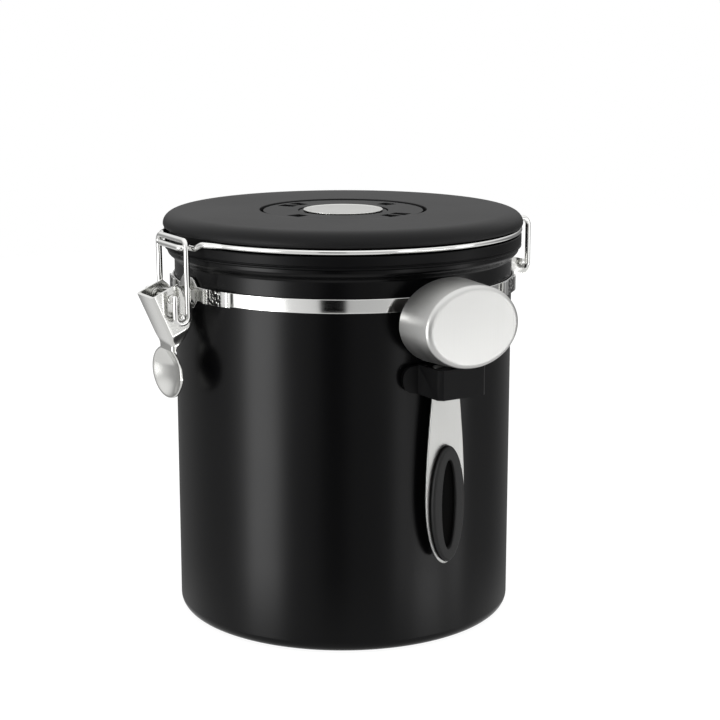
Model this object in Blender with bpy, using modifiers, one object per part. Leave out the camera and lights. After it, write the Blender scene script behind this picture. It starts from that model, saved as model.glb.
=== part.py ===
"""Coffee canister: a steel can with a black lid held by a wire bail clasp and a wire hinge.

The lid carries a turning date ring and a one-way gas valve, and a scoop hangs in a
holder on the front. Metres, +Z up. The origin is the centre of the base, the clasp is
at -X, the hinge at +X and the scoop close to -Y.
"""
import math

import bmesh
import bpy
from mathutils import Matrix, Vector

# Fineness of the round shapes
TURN_STEPS = 48
SMALL_TURN_STEPS = 32
ARC_STEPS = 5
BEND_STEPS = 4
WIRE_BEVEL_STEPS = 2
WRAP_STEP = math.radians(6.0)
RING_STEP = math.radians(6.0)
SMOOTH_ANGLE = math.radians(32.0)
MERGE_DISTANCE = 0.00001

# Clearances: between pieces that touch, and past whatever a cutter cuts
SURFACE_GAP = 0.0003
OVERRUN = 0.002

# Can: drawn sheet with a rounded foot and a flared mouth
BODY_RADIUS = 0.0625
BODY_SHEET = 0.0007
BODY_HEIGHT = 0.137
FOOT_ROUND = 0.004
MOUTH_FLARE = 0.0025
MOUTH_FLARE_HEIGHT = 0.0035
MOUTH_BAND = 0.001

# Steel strap round the can, and the folds that join it to its brackets
STRAP_SHEET = 0.0006
STRAP_HEIGHT = 0.0049
STRAP_BELOW_RIM = 0.01245
CLASP_TAIL_ANGLE = math.radians(9.5)
TAIL_GAP_ANGLE = math.radians(0.9)
CLASP_FOLD_ANGLE = math.radians(12.8)
HINGE_TAIL_ANGLE = math.radians(40.0)
HINGE_FOLD_ANGLE = math.radians(16.0)
FOLD_SHEET = 0.0007
FOLD_LIP = 0.0002

# Lid base: collar on the rim, plug in the mouth, boss under the cap
COLLAR_OVERHANG = 0.001
COLLAR_HEIGHT = 0.0046
COLLAR_LIP = 0.0007
BOSS_INSET = 0.0022
BOSS_WALL = 0.002
PLUG_CLEARANCE = 0.0055
PLUG_WALL = 0.002
PLUG_DEPTH = 0.0058
LID_FLOOR = 0.002
COLLAR_ROOF = 0.0014
GASKET_THICKNESS = 0.0009
GASKET_WIDTH = 0.0035

# Ring wire that holds the lid, from the hinge round the groove to the nose
WIRE_RADIUS = 0.00105
RING_CLEARANCE = 0.00035
WIRE_CLEARANCE = 0.0004
NOSE_BEYOND_BAIL = 0.0013
NOSE_HALF_WIDTH = 0.0093
NOSE_BELOW_COLLAR_TOP = 0.0003
NOSE_BEND = 0.0017
NOSE_ENTRY_ANGLE = math.radians(20.0)
NOSE_CLEAR_ANGLE = math.radians(15.0)
NOSE_DROP_ANGLE = math.radians(10.6)
HINGE_LEG_OFFSET = 0.012
HINGE_LEAVE_ANGLE = math.radians(14.0)
HINGE_LEG_BEND = 0.003
HINGE_END_BEND = 0.0016
HINGE_END_OFFSET = 0.0085

# Lid cap and the recess of the date dial
CAP_OVERHANG = 0.0005
CAP_SHOULDER_WIDTH = 0.0065
CAP_EDGE_INSET = 0.0003
CAP_EDGE_HEIGHT = 0.00075
CAP_SHOULDER_HEIGHT = 0.0046
CAP_SHEET = 0.0018
CAP_HAUNCH = 0.003
DIAL_RECESS_RADIUS = 0.0306
DIAL_RECESS_DEPTH = 0.0034
RECESS_WALL = 0.002
RECESS_FLOOR = 0.0016
RECESS_EDGE = 0.0004

# Date dial: number plate, turning ring, hub and the bare disc on it
PLATE_THICKNESS = 0.0006
RING_GAP = 0.001
DATE_RING_HEIGHT = 0.0018
RING_LEDGE_WIDTH = 0.0013
RING_LEDGE_HEIGHT = 0.0006
HUB_STEM_RADIUS = 0.003
HUB_SINK = 0.0004
BADGE_INSET = 0.002
BADGE_THICKNESS = 0.0005
WINDOW_RIM = 0.0021
WINDOW_LENGTH = 0.0065
WINDOW_LAND = 0.0043
WINDOW_SPLIT = math.radians(7.5)
WINDOW_HALF_ANGLE = math.radians(5.6)
WINDOW_PAIR_AZIMUTHS = (math.radians(22.0), math.radians(202.0))
NOTCH_AZIMUTHS = (math.radians(107.0), math.radians(287.0))
NOTCH_LENGTH = 0.0055
NOTCH_HALF_ANGLE = math.radians(7.0)
NOTCH_DEPTH = 0.0010

# One-way gas valve in the floor of the lid
VALVE_BODY_RADIUS = 0.012
VALVE_FLANGE_RADIUS = 0.0145
VALVE_FLANGE_HEIGHT = 0.0012
FILTER_RADIUS = 0.0105
FILTER_THICKNESS = 0.0005
VALVE_STEM_RADIUS = 0.0015
FLAP_RADIUS = 0.009
FLAP_EDGE = 0.0004
FLAP_CROWN = 0.0011
VENT_RADIUS = 0.0012
VENT_CIRCLE_RADIUS = 0.0062
VENT_COUNT = 6

# Clasp bracket on the can
CLASP_AZIMUTH = math.radians(-90.0)
BRACKET_SHEET = 0.0008
CLASP_BRACKET_HALF_WIDTH = 0.0070
CLASP_BRACKET_FOOT_MARGIN = 0.002
CLASP_BRACKET_HEAD_MARGIN = 0.0042
BRACKET_CORNER = 0.0008
CLASP_EAR_INNER = 0.0047
CLASP_EAR_SHEET = 0.001
EAR_HALF_HEIGHT = 0.0024

# Lever of the clasp, drawn from its pivot: along its web, and out from the can
PIVOT_BELOW_STRAP = 0.00115
LEVER_TILT = math.radians(24.0)
LEVER_SHEET = 0.001
LEVER_HALF_WIDTH = 0.007
WEB_REACH = 0.0066
LEVER_HEAD = 0.0038
LEVER_HEAD_REACH = 0.0041
EAR_REACH = 0.0056
EAR_TOP = 0.0008
EAR_STRAIGHT = 0.0067
EAR_TIP_DROP = 0.0172
EAR_TIP_REACH = 0.0029
EAR_TAPER_SHARES = ((0.57, 0.35), (0.90, 0.77))
WEB_LENGTH = 0.0156
NECK_HALF_WIDTH = 0.0045
TAB_RADIUS = 0.00935
TAB_WIDENING = 1.36
TAB_DEPTH = 0.0035
TAB_DROP = 0.02725
TAB_INSET = 0.0002
RIVET_RADIUS = 0.0012
RIVET_BORE = 0.0008
RIVET_HEAD_RADIUS = 0.0017
RIVET_HEAD_HEIGHT = 0.0006

# Bail: the wire that pulls the lid down, hooked round a pin through the lever
PIN_RADIUS = 0.00095
PIN_INSET = 0.0015
PIN_DROP = 0.0056
PIN_OVERHANG = 0.0005
BAIL_HALF_WIDTH = 0.0118
BAIL_BAR_INSET = 0.0002
BAIL_BAR_ABOVE_NOSE = 0.0025
BAIL_CORNER = 0.0023
BAIL_TAIL_RISE = 0.0078

# Hinge bracket on the can
HINGE_AZIMUTH = math.radians(90.0)
HINGE_LEG_STANDOFF = 0.00825
HINGE_BELOW_STRAP = 0.00055
HINGE_BRACKET_HALF_WIDTH = 0.0103
HINGE_BRACKET_DROP = 0.004
HINGE_BRACKET_RISE = 0.005
HINGE_EAR_SHEET = 0.0008
HINGE_EAR_TIP = 0.0032
HINGE_EAR_SHOULDER = 0.0048
HINGE_EAR_MARGIN = 0.0009

# Scoop holder: foam pad, wing plate and a loop for the handle
SCOOP_AZIMUTH = math.radians(2.0)
PAD_THICKNESS = 0.0008
PAD_MARGIN = 0.0008
WING_HALF_WIDTH = 0.0152
WING_HEIGHT = 0.0096
WING_ROUND = 0.0040
WING_THICKNESS = 0.002
HOLDER_HEIGHT = 0.0104
LOOP_WALL = 0.0015
LOOP_FRONT_WALL = 0.0043
LOOP_PLAY = 0.0003
GRIP_PLAY = 0.0035

# Scoop: steel cup on a steel handle with a rubber grip
CUP_RADIUS = 0.0149
CUP_BASE_RADIUS = 0.0141
CUP_WIDENING = 1.33
CUP_DEPTH = 0.0163
CUP_SHEET = 0.0008
CUP_EDGE_ROUND = 0.0018
CUP_BELOW_RIM = 0.0029
HANDLE_CLEARANCE = 0.0005
HANDLE_SHEET = 0.001
HANDLE_NECK_HALF_WIDTH = 0.0057
HANDLE_HALF_WIDTH = 0.008
HANDLE_LENGTH = 0.072
HANDLE_NECK_LENGTH = 0.012
HANDLE_WIDE_LENGTH = 0.024
FLANGE_SIDE_INSET = 0.0003
GRIP_HALF_WIDTH = 0.007
GRIP_TIP_MARGIN = 0.001
GRIP_LENGTH = 0.042
GRIP_THICKNESS = 0.0022
GRIP_SLOT_HALF_WIDTH = 0.0027
GRIP_SLOT_MARGIN = 0.0052
GRIP_SLOT_DEPTH = 0.0016

# Radii of the lid, from those of the can
RIM_RADIUS = BODY_RADIUS + MOUTH_FLARE
COLLAR_RADIUS = RIM_RADIUS + COLLAR_OVERHANG
BOSS_RADIUS = COLLAR_RADIUS - BOSS_INSET
PLUG_RADIUS = BODY_RADIUS - PLUG_CLEARANCE
RING_RADIUS = BOSS_RADIUS + RING_CLEARANCE + WIRE_RADIUS
CAP_RADIUS = COLLAR_RADIUS + CAP_OVERHANG
CAP_TOP_RADIUS = CAP_RADIUS - CAP_SHOULDER_WIDTH

# Radii of the date dial, from its recess inwards
DATE_RING_RADIUS = DIAL_RECESS_RADIUS - RING_GAP
WINDOW_OUTER = DATE_RING_RADIUS - WINDOW_RIM
WINDOW_INNER = WINDOW_OUTER - WINDOW_LENGTH
NOTCH_OUTER = WINDOW_INNER + NOTCH_LENGTH
DATE_RING_BORE = WINDOW_INNER - WINDOW_LAND
BADGE_RADIUS = DATE_RING_BORE - BADGE_INSET

# Heights of the lid, from the rim of the can upwards
LID_FOOT = BODY_HEIGHT + SURFACE_GAP
COLLAR_TOP = LID_FOOT + COLLAR_HEIGHT
GASKET_SEAT = LID_FOOT + GASKET_THICKNESS + SURFACE_GAP
RING_HEIGHT = COLLAR_TOP + WIRE_CLEARANCE + WIRE_RADIUS
CAP_FOOT = RING_HEIGHT + WIRE_RADIUS + WIRE_CLEARANCE
CAP_SHOULDER = CAP_FOOT + CAP_EDGE_HEIGHT
LID_TOP = CAP_SHOULDER + CAP_SHOULDER_HEIGHT
BOSS_TOP = CAP_FOOT - SURFACE_GAP
LID_FLOOR_FOOT = LID_FOOT - PLUG_DEPTH
LID_FLOOR_TOP = LID_FLOOR_FOOT + LID_FLOOR
DIAL_FLOOR = LID_TOP - DIAL_RECESS_DEPTH
PLATE_FOOT = DIAL_FLOOR + SURFACE_GAP
DATE_RING_FOOT = PLATE_FOOT + PLATE_THICKNESS + SURFACE_GAP
DATE_RING_TOP = DATE_RING_FOOT + DATE_RING_HEIGHT

# Wire round the lid, and the clasp and hinge that take their places from it
STRAP_MIDDLE = BODY_HEIGHT - STRAP_BELOW_RIM
NOSE_HEIGHT = COLLAR_TOP - NOSE_BELOW_COLLAR_TOP
RUN_RADIUS = COLLAR_RADIUS + WIRE_RADIUS + WIRE_CLEARANCE
BAIL_RUN_RADIUS = RUN_RADIUS + 2 * WIRE_RADIUS + SURFACE_GAP
BAIL_LEG_REACH = math.sqrt(BAIL_RUN_RADIUS**2 - BAIL_HALF_WIDTH**2)
HOOK_RADIUS = PIN_RADIUS + SURFACE_GAP + WIRE_RADIUS
PIN_REACH = BAIL_LEG_REACH + HOOK_RADIUS
PIVOT_REACH = PIN_REACH + PIN_INSET
PIVOT_HEIGHT = STRAP_MIDDLE - PIVOT_BELOW_STRAP
PIN_HEIGHT = PIVOT_HEIGHT - PIN_DROP
NOSE_REACH = BAIL_LEG_REACH + BAIL_BAR_INSET + NOSE_BEYOND_BAIL
CLASP_BRACKET_FOOT = PIVOT_HEIGHT - EAR_HALF_HEIGHT - CLASP_BRACKET_FOOT_MARGIN
CLASP_BRACKET_HEAD = PIVOT_HEIGHT + EAR_HALF_HEIGHT + CLASP_BRACKET_HEAD_MARGIN
HINGE_REACH = COLLAR_RADIUS + HINGE_LEG_STANDOFF + WIRE_RADIUS
HINGE_HEIGHT = STRAP_MIDDLE - HINGE_BELOW_STRAP
HINGE_BRACKET_FOOT = HINGE_HEIGHT - HINGE_BRACKET_DROP
HINGE_BRACKET_HEAD = HINGE_HEIGHT + HINGE_BRACKET_RISE

# Radii of the layers on the can
BRACKET_INNER = BODY_RADIUS + SURFACE_GAP
STRAP_OUTER = BRACKET_INNER + STRAP_SHEET
CUP_HEIGHT = BODY_HEIGHT - CUP_BELOW_RIM - CUP_RADIUS
HANDLE_REACH = CAP_RADIUS + HANDLE_CLEARANCE
HANDLE_FACE = HANDLE_REACH + HANDLE_SHEET
HOLDER_TOP = CUP_HEIGHT - CUP_RADIUS - SURFACE_GAP
HANDLE_TIP = HOLDER_TOP - HANDLE_LENGTH
HANDLE_NECK_END = HOLDER_TOP - HANDLE_NECK_LENGTH
HANDLE_WIDE_START = HANDLE_TIP + HANDLE_WIDE_LENGTH
GRIP_SEAT = HANDLE_FACE + SURFACE_GAP
GRIP_FOOT = HANDLE_TIP + GRIP_TIP_MARGIN
GRIP_HEAD = GRIP_FOOT + GRIP_LENGTH
LOOP_INNER_REACH = GRIP_SEAT + GRIP_THICKNESS + GRIP_PLAY
HOLDER_MIDDLE = HOLDER_TOP - HOLDER_HEIGHT / 2
WING_INNER = BRACKET_INNER + PAD_THICKNESS + SURFACE_GAP
LOOP_INNER_HALF_WIDTH = HANDLE_HALF_WIDTH + LOOP_PLAY
LOOP_OUTER_HALF_WIDTH = LOOP_INNER_HALF_WIDTH + LOOP_WALL

# Colours as linear red, green and blue
BLACK_PLASTIC = (0.012, 0.012, 0.013)
BLACK_ENAMEL = (0.016, 0.016, 0.017)
CAP_GREY = (0.045, 0.046, 0.050)
RUBBER_BLACK = (0.010, 0.010, 0.010)
STEEL = (0.62, 0.62, 0.62)
PLATE_WHITE = (0.80, 0.80, 0.78)
VALVE_WHITE = (0.75, 0.76, 0.76)


def clear_scene():
    for thing in list(bpy.data.objects):
        bpy.data.objects.remove(thing)


def new_collection(name):
    collection = bpy.data.collections.new(name)
    bpy.context.scene.collection.children.link(collection)
    return collection


def make_material(name, colour, roughness, metallic=0.0):
    material = bpy.data.materials.new(name)
    material.use_nodes = True
    material.diffuse_color = (*colour, 1.0)
    shader = material.node_tree.nodes["Principled BSDF"]
    shader.inputs["Base Color"].default_value = (*colour, 1.0)
    shader.inputs["Roughness"].default_value = roughness
    shader.inputs["Metallic"].default_value = metallic
    return material


def painted(name):
    return make_material(name + "_painted", BLACK_ENAMEL, 0.45)


def moulded(name, colour=BLACK_PLASTIC, roughness=0.5):
    return make_material(name + "_moulded", colour, roughness)


def polished(name, roughness=0.2):
    return make_material(name + "_steel", STEEL, roughness, 1.0)


clear_scene()
PARTS = new_collection("coffee_canister")
TOOLS = new_collection("shaping_bodies")


def add_piece(name, mesh, material=None):
    """Link a mesh as a piece of the canister, or as a shaping body if it has no material."""
    piece = bpy.data.objects.new(name, mesh)
    if material is None:
        TOOLS.objects.link(piece)
        piece.hide_render = True
        piece.display_type = "WIRE"
    else:
        mesh.materials.append(material)
        PARTS.objects.link(piece)
    return piece


def polar(radius, azimuth):
    """Plan position at an azimuth that is counted from -Y towards +X."""
    return radius * math.sin(azimuth), -radius * math.cos(azimuth)


def around(radius, azimuth, height):
    return Vector((*polar(radius, azimuth), height))


def facing(azimuth, reach=0.0, height=0.0):
    """Frame of a plate that faces outwards: x along the can, y up, z out."""
    out = Vector((math.sin(azimuth), -math.cos(azimuth), 0.0))
    up = Vector((0.0, 0.0, 1.0))
    along = up.cross(out)
    turn = Matrix((along, up, out)).transposed().to_4x4()
    return Matrix.Translation(out * reach + up * height) @ turn


def edgeways(azimuth, offset=0.0):
    """Frame of a plate that stands out from the can: x out, y up, z across at an offset."""
    out = Vector((math.sin(azimuth), -math.cos(azimuth), 0.0))
    up = Vector((0.0, 0.0, 1.0))
    across = out.cross(up)
    turn = Matrix((out, up, across)).transposed().to_4x4()
    return Matrix.Translation(across * offset) @ turn


def arc(centre, radii, start, end, steps=ARC_STEPS):
    """Points of an arc of a circle or ellipse, from one angle to another."""
    points = []
    for step in range(steps + 1):
        angle = start + (end - start) * step / steps
        x = centre[0] + radii[0] * math.cos(angle)
        y = centre[1] + radii[1] * math.sin(angle)
        points.append((x, y))
    return points


def circle(centre, radius, steps=SMALL_TURN_STEPS // 2):
    return arc(centre, (radius, radius), 0.0, math.tau, steps)[:-1]


def rounded_box(half_width, low, high, corner):
    """Outline of a box that is centred on x and has round corners."""
    side = half_width - corner
    quarter = math.pi / 2
    points = []
    for number, (x, y) in enumerate(
        ((side, high - corner), (-side, high - corner), (-side, low + corner), (side, low + corner))
    ):
        points += arc((x, y), (corner, corner), number * quarter, (number + 1) * quarter, BEND_STEPS)
    return points


def sector(inner, outer, middle, half_angle):
    """Outline of a slice of a ring, in plan."""
    outline = []
    for radius, sign in ((outer, 1.0), (inner, -1.0)):
        for step in range(BEND_STEPS + 1):
            turn = (2.0 * step / BEND_STEPS - 1.0) * half_angle * sign
            outline.append(polar(radius, middle + turn))
    return outline


def turned(name, profile, material, ring, steps=TURN_STEPS, sheet=None):
    """Turn a profile round Z; a ring's profile is closed, and a sheet gets its wall inside."""
    mesh = bpy.data.meshes.new(name)
    edges = [(number, number + 1) for number in range(len(profile) - 1)]
    if ring:
        edges.append((len(profile) - 1, 0))
    mesh.from_pydata([(radius, 0.0, height) for radius, height in profile], edges, [])
    piece = add_piece(name, mesh, material)
    screw = piece.modifiers.new("Turn", "SCREW")
    screw.steps = steps
    screw.render_steps = steps
    screw.use_merge_vertices = True
    screw.merge_threshold = MERGE_DISTANCE
    if sheet is not None:
        wall = piece.modifiers.new("Wall", "SOLIDIFY")
        wall.thickness = sheet
        wall.offset = -1.0
        wall.use_even_offset = True
    return piece


def as_mesh(drawn, name, material):
    """Replace a drawn curve by a closed mesh, with its caps joined to its sides."""
    bpy.context.view_layer.update()
    evaluated = drawn.evaluated_get(bpy.context.evaluated_depsgraph_get())
    mesh = bpy.data.meshes.new_from_object(evaluated)
    mesh.name = name
    mesh.materials.clear()
    shape = bmesh.new()
    shape.from_mesh(mesh)
    bmesh.ops.remove_doubles(shape, verts=shape.verts, dist=MERGE_DISTANCE)
    bmesh.ops.recalc_face_normals(shape, faces=shape.faces)
    shape.to_mesh(mesh)
    shape.free()
    piece = add_piece(name, mesh, material)
    piece.matrix_world = drawn.matrix_world
    bpy.data.objects.remove(drawn)
    return piece


def plate(name, outlines, thickness, placement, material=None):
    """Flat plate, centred on its own plane, of outlines with any holes among them."""
    curve = bpy.data.curves.new(name + "_outline", "CURVE")
    curve.dimensions = "2D"
    curve.fill_mode = "BOTH"
    curve.extrude = thickness / 2
    for outline in outlines:
        spline = curve.splines.new("POLY")
        spline.points.add(len(outline) - 1)
        spline.use_cyclic_u = True
        for point, (x, y) in zip(spline.points, outline):
            point.co = (x, y, 0.0, 1.0)
    drawn = bpy.data.objects.new(name + "_outline", curve)
    bpy.context.scene.collection.objects.link(drawn)
    drawn.matrix_world = placement
    return as_mesh(drawn, name, material)


def wire(name, path, radius, material):
    """Round wire with flat ends along a path of points."""
    curve = bpy.data.curves.new(name + "_path", "CURVE")
    curve.dimensions = "3D"
    curve.bevel_depth = radius
    curve.bevel_resolution = WIRE_BEVEL_STEPS
    curve.use_fill_caps = True
    spline = curve.splines.new("POLY")
    spline.points.add(len(path) - 1)
    for point, place in zip(spline.points, path):
        point.co = (*place, 1.0)
    drawn = bpy.data.objects.new(name + "_path", curve)
    bpy.context.scene.collection.objects.link(drawn)
    return as_mesh(drawn, name, material)


def bent_path(corners):
    """Straight runs joined by round bends; each corner is a place and its bend radius."""
    path = [corners[0][0]]
    for (before, _), (corner, bend), (after, _) in zip(corners, corners[1:], corners[2:]):
        if bend == 0.0:
            path.append(corner)
            continue
        back = (before - corner).normalized()
        ahead = (after - corner).normalized()
        half = back.angle(ahead) / 2
        centre = corner + (back + ahead).normalized() * bend / math.sin(half)
        first = corner + back * bend / math.tan(half) - centre
        last = corner + ahead * bend / math.tan(half) - centre
        turn = first.angle(last)
        axis = first.cross(last)
        for step in range(BEND_STEPS + 1):
            path.append(centre + Matrix.Rotation(turn * step / BEND_STEPS, 3, axis) @ first)
    path.append(corners[-1][0])
    return path


def wrap_round_can(piece, azimuth, radius):
    """Bend a flat plate, drawn along x and up y, round the can at a radius."""
    shape = bmesh.new()
    shape.from_mesh(piece.data)
    reach = max(abs(vertex.co.x) for vertex in shape.verts)
    step = radius * WRAP_STEP
    folds = int(reach / step)
    for number in range(-folds, folds + 1):
        bmesh.ops.bisect_plane(
            shape,
            geom=shape.verts[:] + shape.edges[:] + shape.faces[:],
            dist=MERGE_DISTANCE,
            plane_co=(number * step, 0.0, 0.0),
            plane_no=(1.0, 0.0, 0.0),
        )
    bmesh.ops.triangulate(shape, faces=shape.faces)
    for vertex in shape.verts:
        angle = azimuth + vertex.co.x / radius
        vertex.co = around(radius + vertex.co.z, angle, vertex.co.y)
    shape.to_mesh(piece.data)
    shape.free()
    piece.matrix_world = Matrix.Identity(4)


def wrapped_plate(name, outline, inner, thickness, azimuth, material):
    """Plate bent round the can, with its inner face at a radius."""
    piece = plate(name, [outline], thickness, Matrix.Identity(4), material)
    wrap_round_can(piece, azimuth, inner + thickness / 2)
    return piece


def combine(piece, tool, operation, solver="EXACT"):
    boolean = piece.modifiers.new(tool.name, "BOOLEAN")
    boolean.object = tool
    boolean.operation = operation
    boolean.solver = solver


def join_to_wrapped(piece, tool):
    """Join a body to a plate that is bent round the can, whose facets the exact solver loses."""
    combine(piece, tool, "UNION", "MANIFOLD")


def root_reach(radius, offset):
    """How far out a round surface lies at an offset from the middle plane."""
    return math.sqrt(radius * radius - offset * offset)


def pivot(name, place, pieces):
    """Empty on a joint's axis, which carries the pieces that move about it."""
    empty = bpy.data.objects.new(name, None)
    PARTS.objects.link(empty)
    empty.location = place
    bpy.context.view_layer.update()
    for piece in pieces:
        piece.parent = empty
        piece.matrix_parent_inverse = empty.matrix_world.inverted()
    return empty


def canister_body():
    flare_top = BODY_HEIGHT - MOUTH_BAND
    profile = [(RIM_RADIUS, BODY_HEIGHT)]
    for step in range(ARC_STEPS):
        share = step / (ARC_STEPS - 1)
        swell = MOUTH_FLARE * (1.0 + math.cos(math.pi * share)) / 2
        profile.append((BODY_RADIUS + swell, flare_top - MOUTH_FLARE_HEIGHT * share))
    foot = (BODY_RADIUS - FOOT_ROUND, FOOT_ROUND)
    profile += arc(foot, (FOOT_ROUND, FOOT_ROUND), 0.0, -math.pi / 2, BEND_STEPS)
    profile.append((0.0, 0.0))
    turned("canister_body", profile, painted("canister"), ring=False, sheet=BODY_SHEET)


def straps():
    """Front and back straps, and the four folds where they hook into the brackets."""
    clasp_end = CLASP_AZIMUTH + CLASP_TAIL_ANGLE + TAIL_GAP_ANGLE
    hinge_end = HINGE_AZIMUTH - HINGE_TAIL_ANGLE - TAIL_GAP_ANGLE
    half_length = BRACKET_INNER * (hinge_end - clasp_end) / 2
    low = STRAP_MIDDLE - STRAP_HEIGHT / 2
    high = STRAP_MIDDLE + STRAP_HEIGHT / 2
    middle = (clasp_end + hinge_end) / 2
    outline = rounded_box(half_length, low, high, STRAP_SHEET)
    for name, azimuth in (("strap_front", middle), ("strap_back", math.pi - middle)):
        wrapped_plate(name, outline, BRACKET_INNER, STRAP_SHEET, azimuth, polished(name))

    inner = STRAP_OUTER + SURFACE_GAP
    for place, fold_angle, azimuth in (
        ("clasp", CLASP_FOLD_ANGLE, clasp_end + CLASP_FOLD_ANGLE / 2),
        ("hinge", HINGE_FOLD_ANGLE, hinge_end - HINGE_FOLD_ANGLE / 2),
    ):
        outline = rounded_box(inner * fold_angle / 2, low - FOLD_LIP, high + FOLD_LIP, FOLD_SHEET)
        for side, middle in (("front", azimuth), ("back", math.pi - azimuth)):
            name = "strap_fold_" + place + "_" + side
            wrapped_plate(name, outline, inner, FOLD_SHEET, middle, polished(name))


def bracket_outline(half_width, foot, head, tail):
    """Outline of a bracket: a tall middle with a strap-high tail on each side."""
    low = STRAP_MIDDLE - STRAP_HEIGHT / 2
    high = STRAP_MIDDLE + STRAP_HEIGHT / 2
    right = [(tail, high), (half_width, high), (half_width, head - BRACKET_CORNER)]
    right.append((half_width - BRACKET_CORNER, head))
    left = [(-x, y) for x, y in reversed(right)]
    below = [(-tail, low), (-half_width, low), (-half_width, foot + BRACKET_CORNER)]
    below.append((-half_width + BRACKET_CORNER, foot))
    below += [(-x, y) for x, y in reversed(below)]
    return right + left + below


def clasp_bracket():
    material = polished("clasp_bracket", 0.28)
    tail = BRACKET_INNER * CLASP_TAIL_ANGLE
    outline = bracket_outline(CLASP_BRACKET_HALF_WIDTH, CLASP_BRACKET_FOOT, CLASP_BRACKET_HEAD, tail)
    base = wrapped_plate(
        "clasp_bracket", outline, BRACKET_INNER, BRACKET_SHEET, CLASP_AZIMUTH, material
    )
    ear_middle = CLASP_EAR_INNER + CLASP_EAR_SHEET / 2
    root = root_reach(BRACKET_INNER + BRACKET_SHEET / 2, ear_middle)
    pivot_place = (PIVOT_REACH, PIVOT_HEIGHT)
    radii = (EAR_HALF_HEIGHT, EAR_HALF_HEIGHT)
    ear = [(root, PIVOT_HEIGHT - EAR_HALF_HEIGHT)]
    ear += arc(pivot_place, radii, -math.pi / 2, math.pi / 2, 2 * BEND_STEPS)
    ear.append((root, PIVOT_HEIGHT + EAR_HALF_HEIGHT))
    hole = circle(pivot_place, RIVET_RADIUS + SURFACE_GAP)
    for offset in (ear_middle, -ear_middle):
        placement = edgeways(CLASP_AZIMUTH, offset)
        join_to_wrapped(base, plate("clasp_ear", [ear, hole], CLASP_EAR_SHEET, placement))


def lever_rivet():
    head_seat = LEVER_HALF_WIDTH + SURFACE_GAP
    head_top = head_seat + RIVET_HEAD_HEIGHT
    profile = [
        (RIVET_HEAD_RADIUS, head_top),
        (RIVET_HEAD_RADIUS, head_seat),
        (RIVET_RADIUS, head_seat),
        (RIVET_RADIUS, -head_seat),
        (RIVET_HEAD_RADIUS, -head_seat),
        (RIVET_HEAD_RADIUS, -head_top),
        (RIVET_BORE, -head_top),
        (RIVET_BORE, head_top),
    ]
    steps = SMALL_TURN_STEPS // 2
    rivet = turned("lever_rivet", profile, polished("lever_rivet"), ring=True, steps=steps)
    rivet.matrix_world = edgeways(CLASP_AZIMUTH) @ Matrix.Translation((PIVOT_REACH, PIVOT_HEIGHT, 0.0))


def lever_point(down, out):
    """Place in the lever's plane, from its pivot: down along the web, and out from it."""
    x = PIVOT_REACH + out * math.cos(LEVER_TILT) - down * math.sin(LEVER_TILT)
    y = PIVOT_HEIGHT - out * math.sin(LEVER_TILT) - down * math.cos(LEVER_TILT)
    return x, y


def clasp_lever():
    """Stamped lever: a channel with two ears, a neck and a dished thumb tab."""
    frame = edgeways(CLASP_AZIMUTH)
    outline = [
        lever_point(-LEVER_HEAD, WEB_REACH),
        lever_point(-LEVER_HEAD, -LEVER_HEAD_REACH),
        lever_point(-EAR_TOP, -EAR_REACH),
        lever_point(EAR_STRAIGHT, -EAR_REACH),
    ]
    for down_share, out_share in EAR_TAPER_SHARES:
        down = EAR_STRAIGHT + (EAR_TIP_DROP - EAR_STRAIGHT) * down_share
        out = -EAR_REACH + (EAR_TIP_REACH + EAR_REACH) * out_share
        outline.append(lever_point(down, out))
    outline += [lever_point(EAR_TIP_DROP, EAR_TIP_REACH), lever_point(WEB_LENGTH, WEB_REACH)]
    holes = [
        circle((PIVOT_REACH, PIVOT_HEIGHT), RIVET_RADIUS + SURFACE_GAP),
        circle((PIN_REACH, PIN_HEIGHT), PIN_RADIUS + SURFACE_GAP),
    ]
    material = polished("clasp_lever", 0.22)
    lever = plate("clasp_lever", [outline] + holes, 2 * LEVER_HALF_WIDTH, frame, material)

    inside = WEB_REACH - LEVER_SHEET
    beyond = EAR_REACH + OVERRUN
    channel = [
        lever_point(-LEVER_HEAD - OVERRUN, inside),
        lever_point(-LEVER_HEAD - OVERRUN, -beyond),
        lever_point(EAR_TIP_DROP + OVERRUN, -beyond),
        lever_point(EAR_TIP_DROP + OVERRUN, inside),
    ]
    width = 2 * (LEVER_HALF_WIDTH - LEVER_SHEET)
    combine(lever, plate("lever_channel", [channel], width, frame), "DIFFERENCE")

    tab_reach = PIVOT_REACH - TAB_INSET
    tab_height = PIVOT_HEIGHT - TAB_DROP
    start = WEB_LENGTH - LEVER_SHEET
    skin = LEVER_SHEET / 4
    neck_foot = tab_height + TAB_RADIUS - LEVER_SHEET
    neck = [
        lever_point(start, WEB_REACH - skin),
        lever_point(start, WEB_REACH - LEVER_SHEET + skin),
        (tab_reach - LEVER_SHEET - skin, neck_foot),
        (tab_reach - 2 * skin, neck_foot),
    ]
    combine(lever, plate("lever_neck", [neck], 2 * NECK_HALF_WIDTH, frame), "UNION")

    face = []
    for step in range(ARC_STEPS + 1):
        share = step / ARC_STEPS
        face.append((TAB_RADIUS * share, -TAB_DEPTH * (1.0 - share * share)))
    back = [(radius, height - LEVER_SHEET) for radius, height in reversed(face)]
    tab = turned("lever_tab", face + back, None, ring=False, steps=SMALL_TURN_STEPS)
    wider = Matrix.Diagonal((TAB_WIDENING, 1.0, 1.0, 1.0))
    tab.matrix_world = facing(CLASP_AZIMUTH, tab_reach, tab_height) @ wider
    combine(lever, tab, "UNION")
    return lever


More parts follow.
